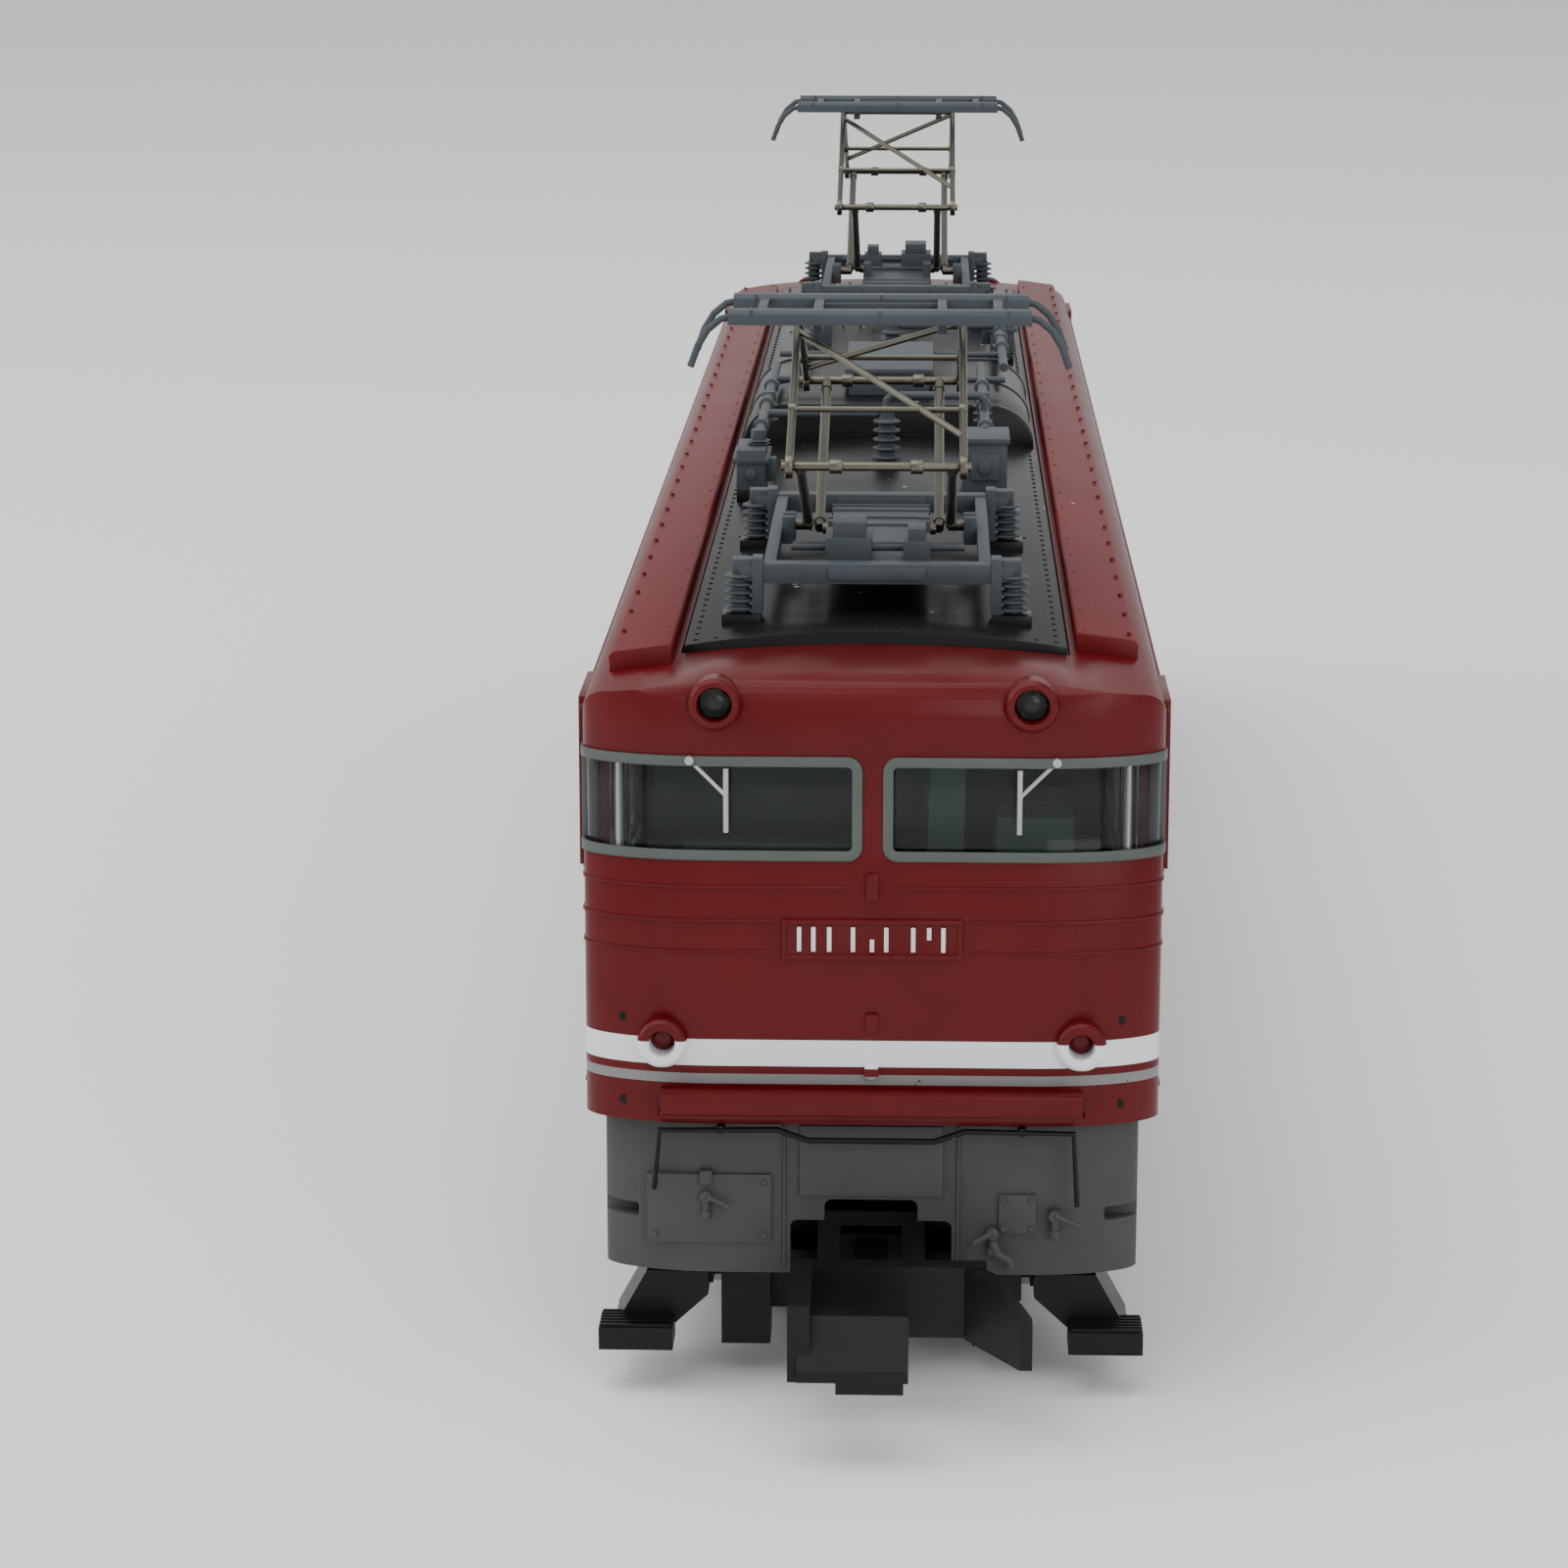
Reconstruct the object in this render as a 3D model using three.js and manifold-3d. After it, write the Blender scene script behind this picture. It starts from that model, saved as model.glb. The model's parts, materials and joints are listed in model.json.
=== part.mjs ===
// Model electric locomotive for 9 mm track, scale 1:150, with two driven bogies, a sliding centre
// bogie and two crossed-arm pantographs. Millimetres, +Z up. Y runs along the locomotive with the
// first cab at -Y, X runs across it, and the origin is on the ground midway between the bogies.
import * as THREE from "three";
import { mergeVertices } from "three/addons/utils/BufferGeometryUtils.js";
import Module from "manifold-3d";

const wasm = await Module();
wasm.setup();

// ---------------------------------------------------------------- driving dimensions

// Body shell
const bodyLength = 109;
const bodyWidth = 18.4;
const bodyWall = 1;
const sillZ = 9.3; // lower edge of the body
const eavesZ = 22.5; // where the side turns into the roof
const crownZ = 23.85; // top of the red roof on the centre line
const roofFall = 0.6; // how much lower the roof is at its shoulders
const roofWall = 0.7;
const shoulderInset = 0.9; // from the side to where the roof begins
const noseCorner = [4.2, 1.6]; // half axes of the front corners in plan, across and along
const browCurve = [1.3, 1.3]; // half axes of the curve from the cab front to the roof

// Roof
const roofPanelWidth = 12.6; // opening for the black roof panel
const roofPanelLength = 98.2;
const roofLedge = 0.6; // width of the ledge that the panel rests on
const roofLedgeZ = 23.2;
const panelEdgeZ = 23.75;
const panelCrownZ = 24.25;
const padZ = 24.3; // top of the pads that the roof equipment stands on
const stripX = [6.55, 8.45]; // raised strips along both edges of the roof
const stripTopZ = 24.05;
const stripHalfLength = 49.6;
const hoodHalfLength = 7.5;
const hoodHalfWidth = 6;
const hoodTopZ = 25.55;

// Cab front
const windowZ = [18, 21.3];
const pillarHalfWidth = 0.35; // half of the post between the two windows
const windowWrap = 2.2; // how far the windows reach back round the corner
const windowCorner = 0.45;
const headlight = { x: 4.95, z: 23, bore: 0.54, rim: 0.83, proud: 0.3 };
const tailLight = { x: 6.65, z: 12, bore: 0.41, rim: 0.8, proud: 0.45 };
const stepBar = { halfWidth: 6.7, z: [9.6, 10.6], proud: 0.7 };
const numberPlate = { halfWidth: 2.85, z: [14.8, 16.1], proud: 0.15 };
const cabPad = { proud: 0.2, y: [2.4, 6.3], z: [17.2, 22.7] }; // y is measured back from the front
const cabWindow = { y: [3.1, 5.6], z: [18.2, 21.4] };
const sideWindow = { length: 5, z: [18.6, 21.2], pitch: 22, count: 4 };

// Skirt below the cab front
const skirtBottomZ = 4.1;
const skirtInset = 0.6;
const skirtWall = 0.8;
const skirtDepth = 4.4;
const skirtGap = { halfWidth: 2.6, topZ: 5.9 };
const skirtNotch = { halfWidth: 1.5, topZ: 6.6 };

// Chassis
const chassisHalfWidth = 7.2;
const chassisZ = [9.4, 20.5];
const chassisHalfLength = 50.4;
const cabFloorZ = 17; // the chassis is cut down to this height inside each cab
const cabDepth = 8;
const driveZ = 14.6; // height of the motor, flywheel and worm axis
const drySpace = 0.6; // air between a turning piece and the chassis

// Drive bogies
const bogiePivotY = 36;
const driveWheelbase = 16.7;
const driveWheel = { tread: 3.735, flange: 4.335 };
const trailWheel = { tread: 2.87, flange: 3.47 };
const trailWheelbase = 12;
const wheelBackToBack = 7.4;
const wheelWidth = 2.2;
const flangeWidth = 0.5;
const axleRadius = 0.75;
const runningClearance = 0.06; // radial, round every axle and pin
const wheelSides = 20;
const sideFrameX = [6.3, 7.3];

// Gears
const gearModule = 0.4;
const wormWheelTeeth = 20;
const idlerTeeth = 11;
const axleGearTeeth = 13;
const wormWheelZ = 9;
const wormRadius = 1.6;
const wormLength = 6.4;
const gearFace = 1.6;
const gearPinRadius = 0.5;

// Pantographs
const pantographY = 39;
const insulatorSpread = 7; // from the middle of a pantograph to each pair of insulators
const pantograph = {
  lowerArm: 11,
  crossing: 0.4, // each lower frame is pivoted this far beyond the centre
  headPivot: 0.6, // distance of each head pivot from the centre
  folded: 5, // angle of both arms when the pantograph is down, in degrees
  pivotZ: 25.95,
  armX: [2.45, 2.05], // lower arms of the frame with its knee in front, and of the other
  upperX: 2.8,
  tube: 0.17,
  headHalfWidth: 5.1,
  hornX: 6.4,
  hornDrop: 1.75,
};
const raisedAngle = { front: 19.5, rear: 22.5 }; // lower arm angles as the locomotive stands

// ---------------------------------------------------------------- solids

function solidOf(geometry) {
  const bare = geometry.clone();
  bare.deleteAttribute("normal");
  bare.deleteAttribute("uv");
  const merged = mergeVertices(bare, 1e-4);
  return new wasm.Manifold(
    new wasm.Mesh({
      numProp: 3,
      vertProperties: merged.attributes.position.array,
      triVerts: new Uint32Array(merged.index.array),
    }),
  );
}

function geometryOf(solid) {
  const made = solid.getMesh();
  const places = new Float32Array(made.numVert * 3);
  for (let i = 0; i < made.numVert; i++) {
    places.set(made.vertProperties.subarray(i * made.numProp, i * made.numProp + 3), i * 3);
  }
  const geometry = new THREE.BufferGeometry();
  geometry.setAttribute("position", new THREE.BufferAttribute(places, 3));
  geometry.setIndex(new THREE.BufferAttribute(made.triVerts, 1));
  geometry.computeVertexNormals();
  return geometry;
}

const join = (...solids) => solids.flat(2).reduce((all, one) => all.add(one));
const cut = (solid, ...tools) => tools.flat(2).reduce((left, tool) => left.subtract(tool), solid);
const overlapOf = (...solids) => solids.reduce((all, one) => all.intersect(one));
const bothSides = (make) => [-1, 1].map(make);

// A box between two planes on each axis, given in either order.
function box(x, y, z) {
  const [low, high] = [Math.min, Math.max].map((pick) => [pick(...x), pick(...y), pick(...z)]);
  const size = high.map((value, i) => value - low[i]);
  const middle = high.map((value, i) => (value + low[i]) / 2);
  return solidOf(new THREE.BoxGeometry(...size).translate(...middle));
}

// A round bar along one axis, from one place on it to another, centred on (u, v) across it:
// (y, z) for an X bar, (x, z) for a Y bar and (x, y) for a Z bar.
function rod(axis, radius, span, [u, v], sides = 12) {
  const [from, to] = [Math.min(...span), Math.max(...span)];
  const middle = (from + to) / 2;
  const bar = new THREE.CylinderGeometry(radius, radius, to - from, sides);
  if (axis === "x") bar.rotateZ(-Math.PI / 2).translate(middle, u, v);
  if (axis === "y") bar.translate(u, middle, v);
  if (axis === "z") bar.rotateX(Math.PI / 2).translate(u, v, middle);
  return solidOf(bar);
}

// A straight bar between two points.
function strut(from, to, radius, sides = 6) {
  const [a, b] = [new THREE.Vector3(...from), new THREE.Vector3(...to)];
  const way = b.clone().sub(a);
  const bar = new THREE.CylinderGeometry(radius, radius, way.length(), sides);
  bar.applyQuaternion(new THREE.Quaternion().setFromUnitVectors(
    new THREE.Vector3(0, 1, 0), way.clone().normalize()));
  const middle = a.add(b).multiplyScalar(0.5);
  return solidOf(bar.translate(middle.x, middle.y, middle.z));
}

// An outline pushed along an axis. It is drawn in (y, z) for X, (x, z) for Y and (x, y) for Z.
function prism(axis, outline, span) {
  const [from, to] = [Math.min(...span), Math.max(...span)];
  const shape = new THREE.Shape(outline.map(([u, v]) => new THREE.Vector2(u, v)));
  const slab = new THREE.ExtrudeGeometry(shape, { depth: to - from, bevelEnabled: false });
  const turn = new THREE.Matrix4();
  const [X, Y, Z] = [[1, 0, 0], [0, 1, 0], [0, 0, 1]].map((v) => new THREE.Vector3(...v));
  if (axis === "x") turn.makeBasis(Y, Z, X);
  if (axis === "y") turn.makeBasis(X, Z, Y.clone().negate());
  slab.applyMatrix4(turn);
  if (axis === "x") slab.translate(from, 0, 0);
  if (axis === "y") slab.translate(0, to, 0);
  if (axis === "z") slab.translate(0, 0, from);
  return solidOf(slab);
}

// Points of a quarter of an ellipse, from one angle to another in degrees.
function arc([cx, cy], [rx, ry], from, to, steps) {
  return Array.from({ length: steps + 1 }, (_, i) => {
    const angle = THREE.MathUtils.degToRad(from + ((to - from) * i) / steps);
    return [cx + rx * Math.cos(angle), cy + ry * Math.sin(angle)];
  });
}

function roundedRectangle([x0, x1], [y0, y1], radius, steps = 3) {
  const round = [radius, radius];
  return [
    ...arc([x0 + radius, y0 + radius], round, 180, 270, steps),
    ...arc([x1 - radius, y0 + radius], round, 270, 360, steps),
    ...arc([x1 - radius, y1 - radius], round, 0, 90, steps),
    ...arc([x0 + radius, y1 - radius], round, 90, 180, steps),
  ];
}

const finish = {
  red: { color: 0x6e1216, roughness: 0.45, metalness: 0 },
  black: { color: 0x141416, roughness: 0.5, metalness: 0 },
  grey: { color: 0x5a5c58, roughness: 0.6, metalness: 0 },
  slate: { color: 0x4c545c, roughness: 0.55, metalness: 0 },
  bronze: { color: 0x77746a, roughness: 0.4, metalness: 0.8 },
  steel: { color: 0xa8a9a6, roughness: 0.35, metalness: 1 },
  zinc: { color: 0x85878a, roughness: 0.5, metalness: 0.8 },
  brass: { color: 0xb08d4c, roughness: 0.35, metalness: 1 },
  nylon: { color: 0xd8d4c6, roughness: 0.5, metalness: 0 },
  green: { color: 0x5f7766, roughness: 0.6, metalness: 0 },
  board: { color: 0x1e5a3a, roughness: 0.5, metalness: 0 },
  clear: { color: 0xb8c4c6, roughness: 0.1, metalness: 0, transparent: true, opacity: 0.4 },
};

function piece(name, solid, look) {
  const mesh = new THREE.Mesh(geometryOf(solid), new THREE.MeshStandardMaterial(finish[look]));
  mesh.name = name;
  return mesh;
}

// ---------------------------------------------------------------- body outline

const halfLength = bodyLength / 2;
const halfWidth = bodyWidth / 2;
const shoulderX = halfWidth - shoulderInset;
const roofZ = (x) => crownZ - roofFall * (x / shoulderX) ** 2;

// The space inside the body's surface when it is moved inwards by the wall thicknesses given.
function bodyBlock(inset, roofInset, bottomZ) {
  const side = halfWidth - inset;
  const shoulder = shoulderX - inset / 2;
  const front = halfLength - inset;
  const roof = (x) => roofZ(x) - roofInset;
  const bend = [side - shoulder, roof(shoulder) - eavesZ + roofInset];
  const rightEdge = arc([shoulder, eavesZ - roofInset], bend, 0, 90, 4);
  const crown = [0.75, 0.5, 0.25, 0, -0.25, -0.5, -0.75].map((share) => {
    const x = share * shoulder;
    return [x, roof(x)];
  });
  const leftEdge = rightEdge.map(([x, z]) => [-x, z]).reverse();
  const section = [[-side, bottomZ], [side, bottomZ], ...rightEdge, ...crown, ...leftEdge];
  const top = crownZ - roofInset;
  const [browY, browZ] = browCurve;
  const elevation = [
    [-front, bottomZ],
    [front, bottomZ],
    ...arc([front - browY, top - browZ], browCurve, 0, 90, 5),
    ...arc([browY - front, top - browZ], browCurve, 90, 180, 5),
  ];
  return overlapOf(
    prism("y", section, [-halfLength, halfLength]),
    prism("x", elevation, [-halfWidth, halfWidth]),
    prism("z", planOutline(inset), [bottomZ, crownZ + 1]),
  );
}

// The body in plan, moved inwards by inset.
function planOutline(inset) {
  const [x, y] = [halfWidth - inset, halfLength - inset];
  const bend = [noseCorner[0] - inset / 2, noseCorner[1] - inset / 2];
  return [
    ...arc([bend[0] - x, bend[1] - y], bend, 180, 270, 6),
    ...arc([x - bend[0], bend[1] - y], bend, 270, 360, 6),
    ...arc([x - bend[0], y - bend[1]], bend, 0, 90, 6),
    ...arc([bend[0] - x, y - bend[1]], bend, 90, 180, 6),
  ];
}

// How far the cab front lies behind its foremost plane at a distance x from the centre line.
function frontSetBack(x) {
  const over = Math.max(0, Math.abs(x) - (halfWidth - noseCorner[0])) / noseCorner[0];
  return noseCorner[1] * (1 - Math.sqrt(Math.max(0, 1 - over ** 2)));
}

// ---------------------------------------------------------------- body shell and what fits it

const windowSpanX = [pillarHalfWidth, halfWidth + 1];
const windowOutline = (grow, depth) => {
  const inner = roundedRectangle(
    [windowSpanX[0] - grow, windowSpanX[1] + 1],
    [windowZ[0] - grow, windowZ[1] + grow],
    windowCorner + grow,
  );
  return bothSides((side) => {
    const outline = side > 0 ? inner : inner.map(([x, z]) => [-x, z]).reverse();
    return prism("y", outline, [-halfLength - 1, depth - halfLength]);
  });
};

const sideWindowCentres = Array.from(
  { length: sideWindow.count },
  (_, i) => (i - (sideWindow.count - 1) / 2) * sideWindow.pitch,
);

// Boxes through the body side for the cab windows of both ends and the machine room windows.
function sideOpenings(side, shrink) {
  const inner = side * (halfWidth - bodyWall - 0.1);
  const at = (outer, y, z) => box([inner, side * (outer - shrink)],
    [y[0] + shrink, y[1] - shrink], [z[0] + shrink, z[1] - shrink]);
  const cab = cabWindow.y.map((y) => y - halfLength);
  const cabs = [cab, cab.map((y) => -y).reverse()].map((y) =>
    at(halfWidth + cabPad.proud, y, cabWindow.z));
  const room = sideWindowCentres.map((y) =>
    at(halfWidth, [y - sideWindow.length / 2, y + sideWindow.length / 2], sideWindow.z));
  return [...cabs, ...room];
}

function frontLamps(lamp) {
  const front = frontSetBack(lamp.x) - halfLength;
  return bothSides((side) => rod("y", lamp.rim, [front - lamp.proud, front + 0.9],
    [side * lamp.x, lamp.z], 16));
}

function turnedRound(solid) {
  return solidOf(geometryOf(solid).rotateZ(Math.PI));
}

function bodyShell() {
  const endTrim = join(
    frontLamps(headlight),
    frontLamps(tailLight),
    box([-stepBar.halfWidth, stepBar.halfWidth], [-halfLength - stepBar.proud, 0.5 - halfLength],
      stepBar.z),
    box([-numberPlate.halfWidth, numberPlate.halfWidth],
      [-halfLength - numberPlate.proud, 0.5 - halfLength], numberPlate.z),
  );
  const pads = bothSides((side) => box([side * (halfWidth - 0.5), side * (halfWidth + cabPad.proud)],
    cabPad.y.map((y) => y - halfLength), cabPad.z));
  const trim = join(endTrim, pads);
  const strips = bothSides((side) => box(stripX.map((x) => side * x),
    [-stripHalfLength, stripHalfLength], [roofZ(stripX[1]) - 0.3, stripTopZ]));
  const outside = join(bodyBlock(0, 0, sillZ), strips, trim, turnedRound(trim));
  const lampBores = bothSides((side) => [
    rod("y", headlight.bore, [-halfLength - 1, 2.5 - halfLength],
      [side * headlight.x, headlight.z], 16),
    rod("y", tailLight.bore, [-halfLength - 1, 0.7 - halfLength],
      [side * tailLight.x, tailLight.z], 12),
  ]);
  const frontCuts = join(windowOutline(0, windowWrap), lampBores.flat());
  const [panelX, panelY] = [roofPanelWidth / 2, roofPanelLength / 2];
  return cut(
    outside,
    bodyBlock(bodyWall, roofWall, sillZ - 1),
    frontCuts,
    turnedRound(frontCuts),
    bothSides((side) => sideOpenings(side, -0.01)).flat(),
    box([-panelX, panelX], [-panelY, panelY], [roofLedgeZ, crownZ + 1]),
    box([roofLedge - panelX, panelX - roofLedge], [roofLedge - panelY, panelY - roofLedge],
      [eavesZ - 3, crownZ + 1]),
  );
}

// Clear moulding behind one cab's windows: a band inside the wall with a block for each window.
function cabGlazing() {
  const gap = 0.05;
  const band = cut(
    prism("z", planOutline(bodyWall + gap), [windowZ[0] - 0.6, windowZ[1] + 0.5]),
    prism("z", planOutline(bodyWall + 0.35), [windowZ[0] - 1, windowZ[1] + 1]),
  );
  const blocks = overlapOf(
    cut(
      prism("z", planOutline(gap), [windowZ[0], windowZ[1]]),
      prism("z", planOutline(bodyWall + 0.3), [windowZ[0] - 1, windowZ[1] + 1]),
    ),
    join(windowOutline(-gap, windowWrap - gap)),
  );
  const reach = box([-halfWidth, halfWidth], [-halfLength, windowWrap + 0.3 - halfLength],
    [windowZ[0] - 1, windowZ[1] + 1]);
  return overlapOf(join(band, blocks), reach);
}

function sideGlazing(side) {
  const gap = 0.05;
  const inner = side * (halfWidth - bodyWall - gap);
  const reach = halfLength - cabWindow.y[0] + 0.3;
  const strip = box([inner, inner - side * 0.4], [-reach, reach],
    [cabWindow.z[0] - 0.5, cabWindow.z[1] + 0.4]);
  return join(strip, sideOpenings(side, gap));
}

function roofPanel() {
  const gap = 0.1;
  const [x, y] = [roofPanelWidth / 2 - gap, roofPanelLength / 2 - gap];
  const topZ = (u) => panelCrownZ - (panelCrownZ - panelEdgeZ) * (u / x) ** 2;
  const crown = [1, 0.75, 0.5, 0.25, 0, -0.25, -0.5, -0.75, -1].map((s) => [s * x, topZ(s * x)]);
  const plate = prism("y", [[-x, roofLedgeZ], [x, roofLedgeZ], ...crown], [-y, y]);
  const bend = [1.9, 1.6];
  const hood = prism("y", [
    [-hoodHalfWidth, roofLedgeZ + 0.2],
    [hoodHalfWidth, roofLedgeZ + 0.2],
    ...arc([hoodHalfWidth - bend[0], hoodTopZ - bend[1]], bend, 0, 90, 4),
    ...arc([bend[0] - hoodHalfWidth, hoodTopZ - bend[1]], bend, 90, 180, 4),
  ], [-hoodHalfLength, hoodHalfLength]);
  const rows = [-1, 1].flatMap((end) =>
    [-1, 1].map((row) => end * pantographY + row * insulatorSpread));
  const feet = rows.flatMap((y) => bothSides((side) =>
    box([side * 3.8, side * 5.1], [y - 0.6, y + 0.6], [panelEdgeZ, padZ])));
  const seats = equipmentSeats.map(([sx, sy]) => box(sx, sy, [panelEdgeZ, padZ]));
  return join(plate, hood, feet, seats, seats.map(turnedRound));
}

// Places on the front half of the roof panel that electrical pieces stand on, as spans across
// and along. The rear half has the same turned round.
const equipmentSeats = [
  [[-5.7, -4.6], [-21.5, -18.5]],
  [[3, 4.7], [-21.5, -18.5]],
  [[-0.6, 0.6], [-14.6, -13.4]],
];

// Switchgear boxes, busbars and insulators, the same at both ends with the rear turned round.
function roofEquipment() {
  const busZ = 26.2;
  const raisedZ = 26.95;
  const [left, right, y] = [-4.9, 3.9, -14];
  const [[leftX, boxY], [rightX]] = equipmentSeats;
  const half = join(
    box(leftX, boxY, [padZ, 25.85]),
    box(rightX, boxY, [padZ, 26.35]),
    rod("z", 0.35, [25.75, busZ + 0.2], [left, -20], 10),
    rod("y", 0.2, [-20, 0.1], [left, busZ], 8),
    rod("y", 0.2, [-20, 0.1], [right, busZ], 8),
    rod("z", 0.5, [padZ, busZ + 0.1], [0, y], 10),
    rod("x", 0.16, [left, 0], [y, busZ], 8),
    rod("z", 0.16, [busZ, raisedZ + 0.1], [0, y], 8),
    rod("x", 0.16, [0, right], [y, raisedZ], 8),
    rod("z", 0.16, [busZ, raisedZ + 0.1], [right, y], 8),
  );
  const braces = bothSides((side) => rod("x", 0.14, [-right - 1, right + 1], [side * 4, busZ], 8));
  const arrester = box([-1.7, 1.7], [-4.4, 4.4], [hoodTopZ + 0.02, busZ + 0.5]);
  return join(half, turnedRound(half), braces, arrester);
}

// ---------------------------------------------------------------- skirt, cab inside and lights

function skirt() {
  const [inset, back] = [skirtInset, skirtDepth - halfLength];
  const ring = cut(
    prism("z", planOutline(inset), [skirtBottomZ, sillZ]),
    prism("z", planOutline(inset + skirtWall), [skirtBottomZ - 1, sillZ + 1]),
  );
  const front = overlapOf(ring, box([-halfWidth, halfWidth], [-halfLength, back], [0, sillZ + 1]));
  const innerX = halfWidth - bodyWall - 0.2;
  const plate = box([-innerX + 0.6, innerX - 0.6], [inset + 1.6 - halfLength, back - 0.9],
    [sillZ - 0.5, sillZ + 0.6]);
  const lug = box([-innerX + 1.4, innerX - 1.4], [inset + 0.4 - halfLength, 2.4 - halfLength],
    [sillZ - 0.5, sillZ]);
  const webs = bothSides((side) => box([side * 6.4, side * (halfWidth - inset - 0.3)],
    [2.6 - halfLength, back - 0.9], [sillZ - 0.5, sillZ]));
  const { halfWidth: gapX, topZ } = skirtGap;
  return cut(
    join(front, plate, lug, webs),
    box([-gapX, gapX], [-halfLength - 1, 1.6 - halfLength], [skirtBottomZ - 1, topZ]),
    box([-skirtNotch.halfWidth, skirtNotch.halfWidth], [-halfLength - 1, 1.6 - halfLength],
      [skirtBottomZ - 1, skirtNotch.topZ]),
  );
}

function cabInterior() {
  const wallX = halfWidth - bodyWall - 0.7;
  const front = bodyWall + 0.6 - halfLength;
  const back = cabDepth - 0.1 - halfLength;
  const floorZ = cabFloorZ + 0.05;
  const floor = box([-wallX + 1.6, wallX - 1.6], [front, back], [floorZ, floorZ + 0.5]);
  const wings = box([-wallX, wallX], [front + 1.6, back], [floorZ, floorZ + 0.5]);
  const bulkhead = box([-wallX, wallX], [back - 0.5, back], [floorZ, windowZ[1] + 0.3]);
  const desk = box([3.9, wallX - 1.2], [front, front + 1.7], [floorZ, 19.1]);
  const post = box([1.8, 2.9], [front, front + 0.9], [floorZ, windowZ[1] + 0.2]);
  const ledge = box([-6, -0.6], [front, front + 1.1], [floorZ, 18.3]);
  const seat = box([4.4, 6.2], [front + 2.9, front + 4.3], [floorZ, 18.9]);
  return join(floor, wings, bulkhead, desk, post, ledge, seat);
}

// Two clear rods behind the headlights, joined by a bar over the lamp on the circuit board.
function lightGuide() {
  const barY = [1.4 - halfLength, 2.3 - halfLength];
  const arms = bothSides((side) => rod("y", headlight.bore - runningClearance,
    [0.2 - halfLength, barY[1]], [side * headlight.x, headlight.z], 12));
  return join(arms, box([-headlight.x, headlight.x], barY, [headlight.z - 0.8, headlight.z - 0.35]));
}

// ---------------------------------------------------------------- chassis, motor and shaft

function chassisFrame() {
  const [low, high] = chassisZ;
  const block = box([-chassisHalfWidth, chassisHalfWidth],
    [-chassisHalfLength, chassisHalfLength], chassisZ);
  const towerZ = wormWheelZ + gearRadius(wormWheelTeeth) + 0.6;
  const ends = [-1, 1].flatMap((end) => {
    const pivot = end * bogiePivotY;
    const tower = towerHalfLength + drySpace;
    return [
      box([-10, 10], [end * (halfLength - cabDepth), end * halfLength], [cabFloorZ, high + 1]),
      box([-3.6, 3.6], [pivot - tower, pivot + tower], [low - 1, towerZ]),
      box([-2.4, 2.4], [end * (motorBayHalfLength - 0.1), pivot + end * 5.9], [towerZ - 0.01, high + 1]),
    ];
  });
  const bay = box([-motorRadius - drySpace, motorRadius + drySpace],
    [-motorBayHalfLength, motorBayHalfLength], [driveZ - motorHeight / 2 - 0.2, high + 1]);
  const saddleZ = driveZ - shaftRadius - 0.05;
  const saddles = [-1, 1].flatMap((end) => [-1, 1].map((row) => {
    const y = end * bogiePivotY + row * (wormLength / 2 + 1.6);
    return box([-2.6, 2.6], [y - 0.4, y + 0.4], [towerZ - 0.3, saddleZ]);
  }));
  return join(cut(block, ends, bay), saddles);
}

const motorRadius = 4.6;
const motorHeight = 8.4;
const motorHalfLength = 9.5;
const flywheelSpan = [11.6, 17.6];
const motorBayHalfLength = 19;
const shaftRadius = 0.5;

function motorCan() {
  const round = rod("y", motorRadius, [-motorHalfLength, motorHalfLength], [0, driveZ], 24);
  const flat = box([-10, 10], [-20, 20], [driveZ - motorHeight / 2, driveZ + motorHeight / 2]);
  const bosses = rod("y", 1.3, [-motorHalfLength - 1, motorHalfLength + 1], [0, driveZ], 12);
  const bore = rod("y", shaftRadius + runningClearance, [-20, 20], [0, driveZ]);
  return cut(join(overlapOf(round, flat), bosses), bore);
}

const shaftHalfLength = bogiePivotY + wormLength / 2 + 2.3;
const motorShaft = () => rod("y", shaftRadius, [-shaftHalfLength, shaftHalfLength], [0, driveZ]);

function flywheel(end) {
  const disc = rod("y", 4.1, flywheelSpan.map((y) => end * y), [0, driveZ], 24);
  const hub = rod("y", 1, [end * (flywheelSpan[0] - 0.4), end * (flywheelSpan[1] + 0.6)], [0, driveZ]);
  return cut(join(disc, hub), rod("y", shaftRadius + runningClearance, [end * 10, end * 20], [0, driveZ]));
}

const gearRadius = (teeth) => (gearModule * teeth) / 2;
const toothPitch = Math.PI * gearModule;

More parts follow.
